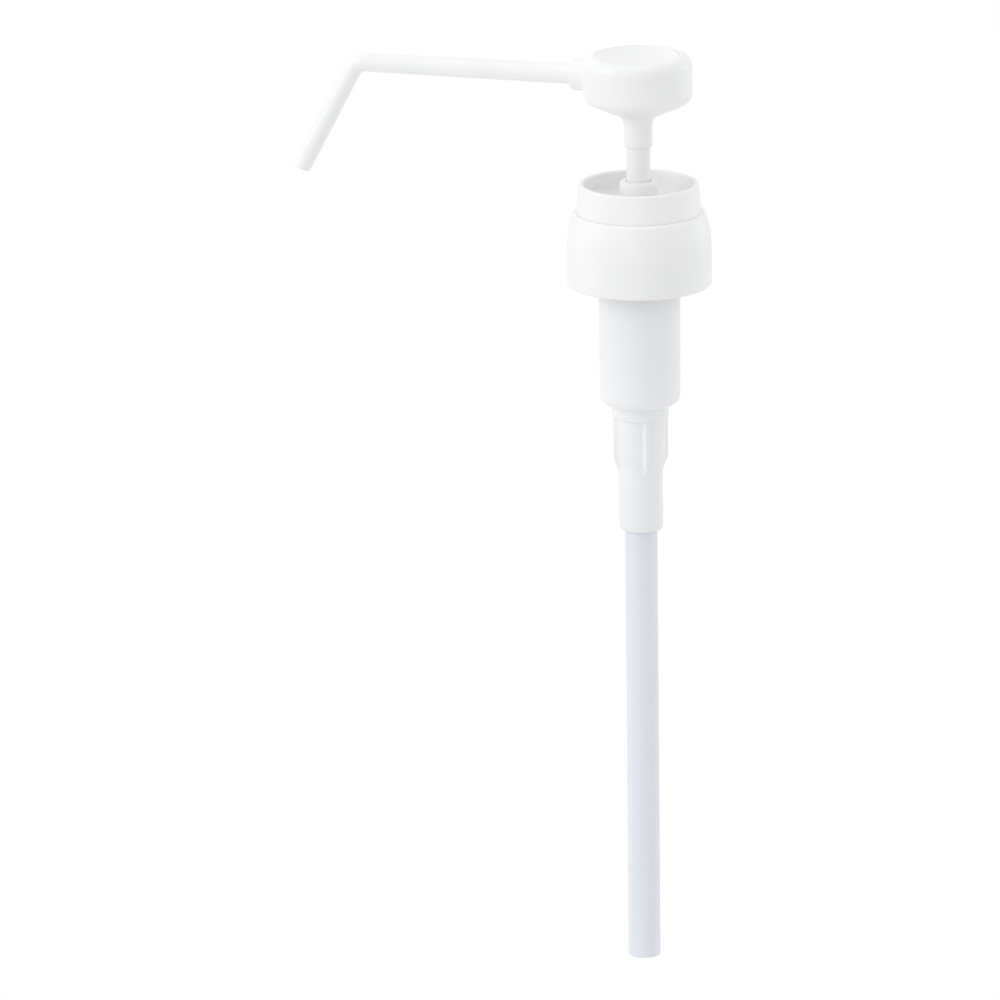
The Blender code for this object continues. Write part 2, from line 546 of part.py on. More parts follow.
def pump_head(parent):
    """Hollow mushroom head: stem boss, flared cone, round-edged rim, ball chamber and spout socket."""
    rim, boss, chamber = HEAD_DIAMETER / 2, BOSS_DIAMETER / 2, CHAMBER_DIAMETER / 2
    seat = COVER_DIAMETER / 2 + SEAT_GAP
    cavity = seat - HEAD_LEDGE
    tube = STEM_HOLE + CHAMBER_WALL
    flare = boss + FLARE_WIDTH
    slope = HEAD_CONE_HEIGHT / (rim - flare)
    inner_cone = [(r, CONE_BOTTOM + (r - flare) * slope + HEAD_WALL) for r in (cavity, tube)]
    stop = BALL_STOP_DIAMETER / 2
    profile = [(0.0, BALL_STOP), (stop, BALL_STOP), (stop, CHAMBER_CEILING), (chamber, CHAMBER_CEILING)]
    profile += [(chamber, OUTLET_SEAT_TOP + SEAT_GAP), (STEM_HOLE, OUTLET_SEAT_TOP + SEAT_GAP)]
    profile += [(STEM_HOLE, BOSS_BOTTOM), (boss, BOSS_BOTTOM), (boss, FLARE_BOTTOM)]
    profile += [(boss + FLARE_WIDTH / 3, FLARE_BOTTOM + FLARE_HEIGHT / 2), (flare, CONE_BOTTOM)]
    profile += [(rim, RIM_BOTTOM)]
    profile += arc(rim - HEAD_EDGE, HEAD_TOP - HEAD_EDGE, HEAD_EDGE, 0, 90, 6)
    profile += [(seat, HEAD_TOP - HEAD_RIM_ROUND), (seat, COVER_SEAT), (cavity, COVER_SEAT)]
    profile += inner_cone + [(tube, CHAMBER_TOP), (0.0, CHAMBER_TOP)]
    piece = add_piece("pump_head", turned("pump_head", profile, BIG_SIDES), "white plastic", parent)
    wall_middle = (cavity + rim) / 2
    inner_tube = rod("socket_tube", SPOUT_HOLE + SPOUT_SOCKET_WALL, -STEM_HOLE, -wall_middle, SPOUT_HEIGHT)
    boss_radius = SPOUT_COLLAR_DIAMETER / 2
    outer_boss = rod("socket_boss", boss_radius, -wall_middle, -SPOUT_COLLAR_REACH, SPOUT_HEIGHT)
    spigot_end = SPOUT_SPIGOT_START - 2 * SEAT_GAP - SPOUT_SEAL_THICKNESS
    way_in = rod("socket_bore", SPOUT_HOLE, -spigot_end, -SPOUT_COLLAR_REACH - CUTTER_SPARE, SPOUT_HEIGHT)
    way_out = rod("flow_bore", SPOUT_BORE / 2, -(stop + chamber) / 2, -SPOUT_SPIGOT_START, SPOUT_HEIGHT, 16)
    shape_with(piece, as_helper("socket_tube", inner_tube), "UNION")
    shape_with(piece, as_helper("socket_boss", outer_boss), "UNION")
    shape_with(piece, as_helper("socket_bore", way_in), "DIFFERENCE")
    shape_with(piece, as_helper("flow_bore", way_out), "DIFFERENCE")


def head_cover(parent):
    """Dished thumb plate whose edge stands on the head's ledge."""
    outer, top = COVER_DIAMETER / 2, HEAD_TOP - COVER_SINK
    dish, floor = outer - COVER_BORDER, COVER_UNDER + COVER_PLATE
    corner = COVER_BORDER / 3
    profile = [(dish * s, floor + (top - floor) * s * s) for s in (0.0, 0.2, 0.4, 0.6, 0.8, 1.0)]
    profile += [(outer - corner, top), (outer, top - corner), (outer, COVER_EDGE)]
    profile += [(COVER_SPREAD, COVER_EDGE), (0.0, COVER_UNDER)]
    add_piece("head_cover", turned("head_cover", profile, BIG_SIDES), "white plastic", parent)


def spout_route():
    """Rings along the spout as (centre, direction, outer radius), from the spigot's end to the tip."""
    root, slim, spigot = SPOUT_ROOT_DIAMETER / 2, SPOUT_DIAMETER / 2, SPOUT_SPIGOT_DIAMETER / 2
    shoulder = SPOUT_COLLAR_REACH + SEAT_GAP
    lead = SPOUT_BEND_RADIUS * math.tan(SPOUT_BEND / 2)
    run_end = SPOUT_REACH - lead
    along = Vector((-1.0, 0.0, 0.0))
    down = Vector((-math.cos(SPOUT_BEND), 0.0, -math.sin(SPOUT_BEND)))
    rings = [(Vector((-SPOUT_SPIGOT_START, 0.0, SPOUT_HEIGHT)), along, spigot)]
    rings += [(Vector((-shoulder, 0.0, SPOUT_HEIGHT)), along, radius) for radius in (spigot, root)]
    steps = 6
    for k in range(steps + 1):
        angle = SPOUT_BEND * k / steps
        reach = run_end + SPOUT_BEND_RADIUS * math.sin(angle)
        height = SPOUT_HEIGHT - SPOUT_BEND_RADIUS * (1.0 - math.cos(angle))
        rings.append((Vector((-reach, 0.0, height)), Vector((-math.cos(angle), 0.0, -math.sin(angle))), slim))
    corner = Vector((-SPOUT_REACH, 0.0, SPOUT_HEIGHT))
    rings.append((corner + down * SPOUT_DROP, down, slim))
    return rings


def spout(parent):
    """Hollow nozzle swept along its route, open at both ends."""
    sides = 20
    form = bmesh.new()
    rings = spout_route()
    inside = [(centre, direction, SPOUT_BORE / 2) for centre, direction, radius in reversed(rings)]
    across = Vector((0.0, 1.0, 0.0))
    turns = [k * math.tau / sides for k in range(sides)]
    loops = []
    for centre, direction, radius in rings + inside:
        side = direction.cross(across)
        places = [centre + radius * (math.cos(t) * side + math.sin(t) * across) for t in turns]
        loops.append([form.verts.new(place) for place in places])
    for near, far in zip(loops, loops[1:] + loops[:1]):
        for k in range(sides):
            corners = (near[k], near[(k + 1) % sides], far[(k + 1) % sides], far[k])
            form.faces.new(corners)
    add_piece("spout", finished_mesh("spout", form), "white plastic", parent)


def spout_seal(parent):
    """Ring between the spigot's end and the socket's floor."""
    mesh = turned(
        "spout_seal",
        [
            (SPOUT_BORE / 2, SPOUT_SEAL_THICKNESS),
            (SPOUT_SPIGOT_DIAMETER / 2, SPOUT_SEAL_THICKNESS),
            (SPOUT_SPIGOT_DIAMETER / 2, 0.0),
            (SPOUT_BORE / 2, 0.0),
        ],
        16,
    )
    piece = add_piece("spout_seal", mesh, "soft seal", parent)
    piece.rotation_euler = (0.0, -math.pi / 2, 0.0)
    piece.location = (-(SPOUT_SPIGOT_START - SEAT_GAP - SPOUT_SEAL_THICKNESS), 0.0, SPOUT_HEIGHT)


def body(name, parent=None):
    """An empty on the stem's axis that carries the pieces of one body."""
    empty = bpy.data.objects.new(name, None)
    bpy.context.collection.objects.link(empty)
    empty.parent = parent
    return empty


def main():
    for old in list(bpy.data.objects):
        bpy.data.objects.remove(old)
    finish("white plastic", (0.90, 0.90, 0.89), 0.32)
    finish("natural plastic", (0.86, 0.87, 0.88), 0.38)
    finish("tube plastic", (0.74, 0.78, 0.84), 0.35)
    finish("soft seal", (0.80, 0.79, 0.76), 0.60)
    finish("spring steel", (0.60, 0.60, 0.61), 0.30, 1.0)

    fixed = body("barrel_body")
    neck_gasket(fixed)
    barrel(fixed)
    dip_tube(fixed)
    collar(fixed)
    stem_guide(fixed)
    stem_wiper(fixed)
    valve_cage(fixed)
    return_spring(fixed)
    ball("inlet_ball", INLET_BALL_DIAMETER, INLET_BALL_HEIGHT, "spring steel", fixed)
    closure_cap(body("cap_body", fixed))

    plunger = body("piston_body", fixed)
    piston(plunger)
    piston_seal(plunger)
    piston_foot(plunger)

    head = body("head_body", plunger)
    stem(head)
    outlet_seat(head)
    ball("outlet_ball", OUTLET_BALL_DIAMETER, OUTLET_BALL_HEIGHT, "spring steel", head)
    pump_head(head)
    head_cover(head)
    spout(head)
    spout_seal(head)


main()
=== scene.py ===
import math

import bpy
import numpy as np
from bpy.props import FloatProperty, FloatVectorProperty, IntProperty, PointerProperty
from mathutils import Matrix, Vector


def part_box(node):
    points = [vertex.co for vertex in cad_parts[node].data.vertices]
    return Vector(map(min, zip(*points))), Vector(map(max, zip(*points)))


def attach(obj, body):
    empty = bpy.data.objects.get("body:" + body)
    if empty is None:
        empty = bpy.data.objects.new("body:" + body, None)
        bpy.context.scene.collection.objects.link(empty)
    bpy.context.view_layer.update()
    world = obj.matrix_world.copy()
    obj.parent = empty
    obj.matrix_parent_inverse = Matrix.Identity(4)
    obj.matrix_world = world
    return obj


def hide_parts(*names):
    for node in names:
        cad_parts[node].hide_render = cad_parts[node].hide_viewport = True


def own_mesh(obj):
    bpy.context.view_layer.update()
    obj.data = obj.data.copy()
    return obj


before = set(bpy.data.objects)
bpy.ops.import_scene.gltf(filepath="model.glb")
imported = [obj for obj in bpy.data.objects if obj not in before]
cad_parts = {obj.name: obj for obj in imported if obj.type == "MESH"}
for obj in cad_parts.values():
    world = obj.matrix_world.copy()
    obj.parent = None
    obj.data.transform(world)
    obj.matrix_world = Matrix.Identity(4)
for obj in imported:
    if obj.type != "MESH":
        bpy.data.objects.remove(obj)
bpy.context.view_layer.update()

bl_info = {
    "name": "Condiment pump",
    "version": (1, 0, 0),
    "blender": (4, 5, 0),
    "location": "View3D > Sidebar > Condiment pump",
    "description": "Builds a bottle-neck condiment pump piece by piece",
    "category": "Object",
}

TAU = math.tau

# Millimetres that more than one piece keeps to: radii, and how far the spout's socket has its floor and its end
# from the stem's axis
SOCKET_BORE = 2.9
SOCKET_FLOOR = 6.9
SOCKET_END = 20.8
STEM_BORE = 2.2
SPIGOT_HOLE = 3.3
BARREL_BORE = 11.0
TUBE_SOCKET = 6.85


def top_of(node):
    """Height of a node's highest point, in metres."""
    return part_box(node)[1].z


def foot_of(node):
    """Height of a node's lowest point, in metres."""
    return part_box(node)[0].z


def radius_of(node):
    """Largest radius of a turned node about the stem's axis, in metres."""
    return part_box(node)[1].x


def length(name, about, default):
    """A length property in metres."""
    return FloatProperty(name=name, description=about, default=default, min=0.0, unit="LENGTH", precision=5)


def height(name, about, default):
    """A height property in metres above the bottle's rim."""
    return FloatProperty(name=name, description=about, default=default, unit="LENGTH", precision=5)


def share(name, about, default):
    """A property between nought and one."""
    return FloatProperty(name=name, description=about, default=default, min=0.0, max=1.0, subtype="FACTOR")


def degrees(name, about, default):
    """An angle property, given in degrees."""
    return FloatProperty(name=name, description=about, default=math.radians(default), subtype="ANGLE")


def power(name, about, default):
    """A lamp's power property in watts."""
    return FloatProperty(name=name, description=about, default=default, min=0.0, unit="POWER")


def colour(name, about, default):
    """A colour property."""
    return FloatVectorProperty(name=name, description=about, default=default, min=0.0, max=1.0, subtype="COLOR")


class HeadSizes(bpy.types.PropertyGroup):
    """Sizes of the thumb head, its cover and the spout."""

    radius: length("Head radius", "Radius of the head's upright wall", radius_of("pump_head"))
    top: height("Head top", "Height of the head's rim", top_of("pump_head"))
    boss_bottom: height("Boss bottom", "Lower end of the boss round the stem", foot_of("pump_head"))
    edge: length("Edge rounding", "Rounding between the wall and the top", 0.0034)
    cover_radius: length("Cover radius", "Radius of the dished thumb plate", radius_of("head_cover"))
    dish_depth: length("Dish depth", "Depth of the thumb plate's hollow", 0.0018)
    spout_height: height("Spout height", "Height of the spout's straight run", 0.0484)
    spout_reach: length("Spout reach", "Distance from the axis to the spout's corner", 0.0911)
    spout_drop: length("Spout drop", "Length of the spout beyond its corner", 0.0392)
    spout_bend: degrees("Spout bend", "Angle between the run and the drop", 62.0)
    spout_bend_radius: length("Bend radius", "Radius of the bend along the spout's middle", 0.0050)
    spout_bore: length("Spout bore", "Radius of the spout's bore", 0.0019)


class NeckSizes(bpy.types.PropertyGroup):
    """Sizes of the cap, the collar and what sits in them."""

    cap_radius: length("Cap radius", "Radius of the cap's lower wall", radius_of("closure_cap"))
    cap_top_radius: length("Cap top radius", "Radius of the cap at its top edge", 0.0209)
    cap_top: height("Cap top", "Height of the cap's roof", top_of("closure_cap"))
    cap_bottom: height("Cap bottom", "Height of the cap's lip", foot_of("closure_cap"))
    cap_bore: length("Cap bore", "Radius inside the cap's wall", 0.0189)
    thread_pitch: length("Thread pitch", "Rise of the cap's thread in one turn", 0.00423)
    thread_depth: length("Thread depth", "Height of the cap's thread", 0.0011)
    collar_radius: length("Collar radius", "Radius of the collar's foot", radius_of("collar"))
    collar_rim_radius: length("Collar rim radius", "Radius of the collar's rim", 0.0186)
    collar_top: height("Collar rim", "Height of the collar's rim", 0.0150)
    hub_top: height("Hub top", "Height of the hub round the stem", top_of("collar"))
    gasket_radius: length("Gasket radius", "Radius of the neck gasket", radius_of("neck_gasket"))


class BarrelSizes(bpy.types.PropertyGroup):
    """Sizes of the barrel and the dip tube."""

    flange_radius: length("Flange radius", "Radius of the barrel's flange", radius_of("barrel"))
    top: height("Barrel top", "Height of the barrel's mouth", top_of("barrel"))
    bottom: height("Socket bottom", "Height of the tube socket's end", foot_of("barrel"))
    rib_count: IntProperty(name="Ribs", description="Number of ribs round the valve tube", default=4, min=1)
    rib_turn: degrees("Rib turn", "Angle of the first rib from the +X direction", 28.6)
    rib_radius: length("Rib radius", "Radius that the ribs reach", 0.0087)
    rib_thickness: length("Rib thickness", "Thickness of a rib", 0.0023)
    tube_radius: length("Tube radius", "Outer radius of the dip tube", radius_of("dip_tube"))
    tube_wall: length("Tube wall", "Wall of the dip tube", 0.0011)
    tube_top: height("Tube top", "Height of the dip tube's upper end", top_of("dip_tube"))
    tube_bottom: height("Tube bottom", "Height of the dip tube's lower end", foot_of("dip_tube"))


class WorksSizes(bpy.types.PropertyGroup):
    """Sizes of the stem, the piston, the spring and the valves."""

    stem_radius: length("Stem radius", "Outer radius of the stem", radius_of("stem"))
    stem_top: height("Stem top", "Height of the stem's upper end", top_of("stem"))
    stem_bottom: height("Stem bottom", "Height of the stem's lower end", foot_of("stem"))
    wire_radius: length("Wire radius", "Radius of the spring's wire", 0.00055)
    spring_radius: length("Spring radius", "Radius of the coil at the middle of the wire", 0.0061)
    spring_turns: IntProperty(name="Spring turns", description="Turns of the spring's wire", default=8, min=3)
    spring_end_pitch: length("End pitch", "Rise of the spring's first and last turn", 0.0026)
    spring_kept: share("Spring kept", "Share of its length that the spring keeps when pressed down", 0.694)


class Finishes(bpy.types.PropertyGroup):
    """Colours and gloss of the pump's plastics, seals and steel."""

    white: colour("White plastic", "Moulded white polypropylene", (0.905, 0.905, 0.900))
    white_shade: colour("White plastic, deeper", "Deeper patches of the white", (0.880, 0.882, 0.884))
    white_gloss: share("White roughness", "Roughness of the white plastic", 0.36)
    natural: colour("Natural plastic", "Undyed polypropylene of the barrel", (0.885, 0.892, 0.900))
    natural_shade: colour("Natural plastic, deeper", "Deeper patches of it", (0.850, 0.860, 0.872))
    natural_gloss: share("Natural roughness", "Roughness of the undyed plastic", 0.34)
    tube: colour("Tube", "Natural polyethylene of the dip tube", (0.858, 0.886, 0.938))
    tube_shade: colour("Tube, deeper", "Deeper streaks along the dip tube", (0.830, 0.862, 0.922))
    tube_gloss: share("Tube roughness", "Roughness of the dip tube", 0.37)
    seal: colour("Seal", "Soft polymer of the seals", (0.780, 0.770, 0.735))
    steel: colour("Steel", "Stainless steel of the spring and the balls", (0.600, 0.605, 0.615))


class StageSettings(bpy.types.PropertyGroup):
    """Place of the camera and strength of the light."""

    azimuth: degrees("Azimuth", "Turn of the camera towards the back of the head", 16.8)
    elevation: degrees("Elevation", "Angle of the camera above the horizon", 15.6)
    roll: degrees("Roll", "Turn of the camera about its own axis", -0.68)
    distance: length("Distance", "Camera distance", 3.0)
    width: length("Width in view", "Width that the picture takes in at the stem's axis", 0.3125)
    aim_height: height("Aim height", "Height on the stem's axis at the middle of the picture", -0.0865)
    aim_side: length("Aim side", "Distance from the stem's axis to the middle of the picture", 0.0441)
    floor: height("Floor", "Height of the floor below the hanging pump", -0.90)
    key: power("Key light", "Power of the big soft lamp on the left", 5.5)
    front: power("Front light", "Power of the lamp in front", 0.8)
    rim: power("Rim light", "Power of the lamp behind on the right", 3.0)
    overhead: power("Overhead light", "Power of the lamp above", 3.6)
    surround: share("Surround", "Strength of the even light from all round", 0.84)


def mm(value):
    """Metres to millimetres."""
    return value * 1000.0


def rounded(corners, steps=6):
    """Points in metres along a polygon of (radius, height, rounding) corners in millimetres.

    Each corner gives way to the conic from one side to the other whose middle control point is the corner,
    weighted by the sine of half the corner's angle, which is a circular arc. Long sides get a point close to
    each of their ends, so that the shading of a flat stays flat.
    """
    shared_side, least_step, long_side, guard_step = 0.97, 2e-7, 0.0008, 0.00012
    spots = np.array(corners, float) * 0.001
    here = spots[:, :2]
    back, ahead = np.roll(here, 1, 0) - here, np.roll(here, -1, 0) - here
    back_length, ahead_length = np.linalg.norm(back, axis=1), np.linalg.norm(ahead, axis=1)
    back, ahead = back / back_length[:, None], ahead / ahead_length[:, None]
    half = np.arccos(np.clip((back * ahead).sum(1), -1.0, 1.0)) / 2
    reach = spots[:, 2] / np.tan(half)
    room = np.minimum(1.0, shared_side * ahead_length / np.maximum(reach + np.roll(reach, -1), 1e-12))
    reach = reach * np.minimum(room, np.roll(room, 1))
    start, end = here + back * reach[:, None], here + ahead * reach[:, None]
    s = np.linspace(0.0, 1.0, steps + 1)[None, :, None]
    near, middle, far = (1 - s) ** 2, 2 * s * (1 - s) * np.sin(half)[:, None, None], s**2
    curve = (near * start[:, None] + middle * here[:, None] + far * end[:, None]) / (near + middle + far)
    points = curve.reshape(-1, 2)
    points = points[np.linalg.norm(np.roll(points, -1, 0) - points, axis=1) > least_step]
    step = np.roll(points, -1, 0) - points
    size = np.linalg.norm(step, axis=1)
    guard = np.where(size > long_side, guard_step / size, np.nan)
    shares = np.stack([np.zeros_like(size), guard, 1.0 - guard], 1)
    points = (points[:, None] + shares[:, :, None] * step[:, None]).reshape(-1, 2)
    return points[~np.isnan(points[:, 0])]


def split(profile, step):
    """Cut each side of a closed profile into equal parts no longer than the step."""
    ahead = np.roll(profile, -1, 0) - profile
    parts = np.maximum(np.ceil(np.linalg.norm(ahead, axis=1) / step), 1).astype(int)
    side = np.repeat(np.arange(len(profile)), parts)
    count = np.arange(len(side)) - (np.cumsum(parts) - parts)[side]
    return profile[side] + ahead[side] * (count / parts[side])[:, None]


def anticlockwise(profile):
    """The same closed profile, run so that its inside is on the left."""
    ahead = np.roll(profile, -1, 0)
    area = (profile[:, 0] * ahead[:, 1] - ahead[:, 0] * profile[:, 1]).sum()
    return profile if area > 0 else profile[::-1]


def ring_faces(points, on_axis):
    """Faces of a grid of rings that closes both ways.

    They are quads, triangles at rows on the axis, and none along the axis.
    """
    rows, sides = points.shape[:2]
    here = np.arange(rows * sides).reshape(rows, sides)
    here[on_axis] = here[on_axis, :1]
    there = np.roll(here, -1, 0)
    here_next, there_next = np.roll(here, -1, 1), np.roll(there, -1, 1)
    ahead_axis = np.roll(on_axis, -1)
    plain = ~on_axis & ~ahead_axis
    quads = np.stack([here, here_next, there_next, there], -1)[plain].reshape(-1, 4)
    leaving = np.stack([here, there_next, there], -1)[on_axis & ~ahead_axis].reshape(-1, 3)
    arriving = np.stack([here, here_next, there], -1)[~on_axis & ahead_axis].reshape(-1, 3)
    return quads.tolist() + leaving.tolist() + arriving.tolist()


def capped_shell(points):
    """A grid of rings, closed round and capped at both ends, as a shell."""
    rows, sides = points.shape[:2]
    grid = np.arange(rows * sides).reshape(rows, sides)
    near, far = grid[:-1], grid[1:]
    quads = np.stack([near, np.roll(near, -1, 1), np.roll(far, -1, 1), far], -1).reshape(-1, 4)
    return points.reshape(-1, 3), quads.tolist() + [grid[0][::-1].tolist(), grid[-1].tolist()]


def about_z(radius, angle, level):
    """Points about the stem's axis: x = r cos a, y = r sin a, z = h."""
    return np.stack(np.broadcast_arrays(radius * np.cos(angle), radius * np.sin(angle), level), -1)


def turned(profile, sides):
    """Turn a closed profile of (r, h) points about Z. Gives points and faces."""
    radius, level = anticlockwise(profile).T
    points = about_z(radius[:, None], np.arange(sides) * TAU / sides, level[:, None])
    return points.reshape(-1, 3), ring_faces(points, radius < 1e-9)


def rings(middle, across, over, radius, sides):
    """Rings of points along a route: middle + r (across cos a + over sin a)."""
    angle = np.arange(sides)[:, None] * TAU / sides
    wheel = np.cos(angle) * across[:, None] + np.sin(angle) * over[:, None]
    return middle[:, None] + radius[:, None, None] * wheel


def carried(profile, route, sides):
    """Carry a turned profile of (radius, way) points along a route.

    The route gives, for each way along it, a middle point, a direction across it in its plane and a direction
    across its plane.
    """
    radius, way = anticlockwise(profile).T
    points = rings(*route(way), radius, sides)
    return points.reshape(-1, 3), ring_faces(points, radius < 1e-9)


def joined(*parts):
    """Several shells of (points, faces) as one."""
    points, faces, count = [], [], 0
    for part_points, part_faces in parts:
        faces += [[corner + count for corner in face] for face in part_faces]
        points.append(part_points)
        count += len(part_points)
    return np.concatenate(points), faces


def as_mesh(name, shell):
    """A smooth mesh from a shell of points and faces, without the spare points on its axis."""
    points, faces = shell
    mesh = bpy.data.meshes.new(name)
    mesh.from_pydata(points.tolist(), [], faces)
    used = np.zeros(len(points), bool)
    corners = np.zeros(len(mesh.loops), np.int32)
    mesh.loops.foreach_get("vertex_index", corners)
    used[corners] = True
    if not used.all():
        renumber = np.cumsum(used) - 1
        tidy = [renumber[face].tolist() for face in faces]
        mesh.clear_geometry()
        mesh.from_pydata(points[used].tolist(), [], tidy)
    mesh.shade_smooth()
    mesh.set_sharp_from_angle(angle=math.radians(50.0))
    mesh.update()
    return mesh


def add_object(name, data):
    """A new object with that data, linked into the scene."""
    made = bpy.data.objects.new(name, data)
    bpy.context.scene.collection.objects.link(made)
    return made


def place(name, shell, body, slot):
    """Put a shell into the scene as a piece that rides on a body and stands for the node of its name."""
    piece = add_object(name, as_mesh(name, shell))
    piece.data.materials.append(surface(slot))
    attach(piece, body)
    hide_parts(name)
    return piece


def cut_away(shell, cutter):
    """The shell that is left when a cutting shell is taken out of it."""
    body, tool = add_object("uncut", as_mesh("uncut", shell)), add_object("cutting", as_mesh("cutting", cutter))
    step = body.modifiers.new("cut", "BOOLEAN")
    step.operation = "DIFFERENCE"
    step.solver = "EXACT"
    step.object = tool
    finished = body.evaluated_get(bpy.context.evaluated_depsgraph_get()).to_mesh()
    points = np.zeros(len(finished.vertices) * 3)
    finished.vertices.foreach_get("co", points)
    faces = [list(face.vertices) for face in finished.polygons]
    for made in (body, tool):
        bpy.data.meshes.remove(made.data)
    if not faces:
        raise RuntimeError("a cut left nothing")
    return points.reshape(-1, 3), faces


def lathe(corners, sides):
    """A turned shell from rounded corners in millimetres."""
    return turned(rounded(corners), sides)


def place_ball(name, body):
    """A steel ball as large as its node: the half circle r = R cos b, h = R sin b turned about Z."""
    low, high, sides = foot_of(name), top_of(name), 64
    radius, lift = (high - low) / 2, np.linspace(-math.pi / 2, math.pi / 2, sides // 2 + 1)
    profile = np.stack([radius * np.cos(lift), (high + low) / 2 + radius * np.sin(lift)], 1)
    profile[[0, -1], 0] = 0.0
    place(name, turned(profile, sides), body, "steel")


def along_x(level):
    """A straight route along -X at a height, measured from the stem's axis."""

    def route(way):
        flat = np.zeros_like(way)
        middle = np.stack([-way, flat, flat + level], -1)
        across = np.stack([flat, flat, flat + 1.0], -1)
        return middle, across, np.stack([flat, flat + 1.0, flat], -1)

    return route


def drill(radius, start, end, level, sides):
    """A plain rod along -X at a height in metres; its radius and ends are in millimetres."""
    corners = [(0, start, 0), (radius, start, 0), (radius, end, 0), (0, end, 0)]
    return carried(rounded(corners, 1), along_x(level), sides)


def spout_route(size):
    """The spout's route: along -X, round a circular bend and down the drop, in the plane y = 0."""
    bend, bend_radius = size.spout_bend, size.spout_bend_radius
    straight = size.spout_reach - bend_radius * math.tan(bend / 2)

    def route(way):
        turn = np.clip((way - straight) / bend_radius, 0.0, bend)
        after = np.maximum(way - straight - bend_radius * bend, 0.0)
        reach = np.minimum(way, straight) + bend_radius * np.sin(turn) + after * math.cos(bend)
        fall = bend_radius * (1.0 - np.cos(turn)) + after * math.sin(bend)
        flat = np.zeros_like(way)
        middle = np.stack([-reach, flat, size.spout_height - fall], -1)
        across = np.stack([-np.sin(turn), flat, np.cos(turn)], -1)
        return middle, across, np.stack([flat, flat + 1.0, flat], -1)

    return route, straight + bend_radius * bend + size.spout_drop - bend_radius * math.tan(bend / 2)


def new_material(name):
    """A material with a principled shader. Gives it, its node tree and the shader."""
    material = bpy.data.materials.new(name)
    material.use_nodes = True
    tree = material.node_tree
    tree.nodes.clear()
    output = tree.nodes.new("ShaderNodeOutputMaterial")
    shader = tree.nodes.new("ShaderNodeBsdfPrincipled")
    tree.links.new(shader.outputs["BSDF"], output.inputs["Surface"])
    return material, tree, shader


def noise(tree, stretch, scale, detail):
    """A noise on Object coordinates, stretched along the axes. Gives its value socket."""
    spot = tree.nodes.new("ShaderNodeTexCoord")
    mapping = tree.nodes.new("ShaderNodeMapping")
    mapping.inputs["Scale"].default_value = stretch
    texture = tree.nodes.new("ShaderNodeTexNoise")
    texture.inputs["Scale"].default_value = scale
    texture.inputs["Detail"].default_value = detail
    tree.links.new(spot.outputs["Object"], mapping.inputs["Vector"])
    tree.links.new(mapping.outputs["Vector"], texture.inputs["Vector"])
    return texture.outputs["Fac"]


def tint(tree, shader, value, first, second, low, high):
    """Colour the shader's surface from one colour to another as a value goes from low to high."""
    ramp = tree.nodes.new("ShaderNodeValToRGB")
    for element, position, shade in zip(ramp.color_ramp.elements, (low, high), (first, second)):
        element.position = position
        element.color = (*shade, 1.0)
    tree.links.new(value, ramp.inputs["Fac"])
    tree.links.new(ramp.outputs["Color"], shader.inputs["Base Color"])


def dull(tree, shader, value, low, high):
    """Carry a noise's usual values, 0.3 to 0.7, over to a range of the shader's roughness."""
    reach = tree.nodes.new("ShaderNodeMapRange")
    for name, limit in (("From Min", 0.3), ("From Max", 0.7), ("To Min", low), ("To Max", high)):
        reach.inputs[name].default_value = limit
    tree.links.new(value, reach.inputs["Value"])
    tree.links.new(reach.outputs["Result"], shader.inputs["Roughness"])


def roughen(tree, shader, value, strength, depth):
    """Bump the shader's surface with a value, by a depth in metres."""
    bump = tree.nodes.new("ShaderNodeBump")
    bump.inputs["Strength"].default_value = strength
    bump.inputs["Distance"].default_value = depth
    tree.links.new(value, bump.inputs["Height"])
    tree.links.new(bump.outputs["Normal"], shader.inputs["Normal"])


def moulded_plastic(name, base, deeper, gloss):
    """Moulded polypropylene: faint clouding from the melt, uneven gloss and a fine orange peel."""
    material, tree, shader = new_material(name)
    clouds = noise(tree, (1.0, 1.0, 0.6), 45.0, 3.0)
    sheen = noise(tree, (1.0, 1.0, 1.0), 260.0, 4.0)
    peel = noise(tree, (1.0, 1.0, 1.0), 1500.0, 2.0)
    tint(tree, shader, clouds, deeper, base, 0.38, 0.60)
    dull(tree, shader, sheen, gloss - 0.05, gloss + 0.06)
    roughen(tree, shader, peel, 0.10, 0.00004)
    shader.inputs["IOR"].default_value = 1.49
    shader.inputs["Specular IOR Level"].default_value = 0.45
    return material


def tube_plastic(name, base, deeper, gloss):
    """Extruded natural polyethylene: streaks along the draw, a waxy skin and some light through the wall."""
    material, tree, shader = new_material(name)
    streaks = noise(tree, (1.0, 1.0, 0.02), 520.0, 3.0)
    clouds = noise(tree, (1.0, 1.0, 0.25), 60.0, 2.0)
    skin = noise(tree, (1.0, 1.0, 0.08), 1300.0, 3.0)
    tint(tree, shader, streaks, deeper, base, 0.35, 0.62)
    dull(tree, shader, clouds, gloss - 0.05, gloss + 0.08)
    roughen(tree, shader, skin, 0.12, 0.00004)
    shader.inputs["IOR"].default_value = 1.51
    shader.inputs["Transmission Weight"].default_value = 0.10
    return material


def soft_polymer(name, base):
    """Soft seal: matt, with a fine grain and faint mottling."""
    material, tree, shader = new_material(name)
    mottle = noise(tree, (1.0, 1.0, 1.0), 220.0, 4.0)
    grain = noise(tree, (1.0, 1.0, 1.0), 2600.0, 3.0)
    darker = tuple(0.92 * part for part in base)
    tint(tree, shader, mottle, darker, base, 0.35, 0.65)
    dull(tree, shader, grain, 0.52, 0.68)
    roughen(tree, shader, grain, 0.20, 0.00003)
    return material


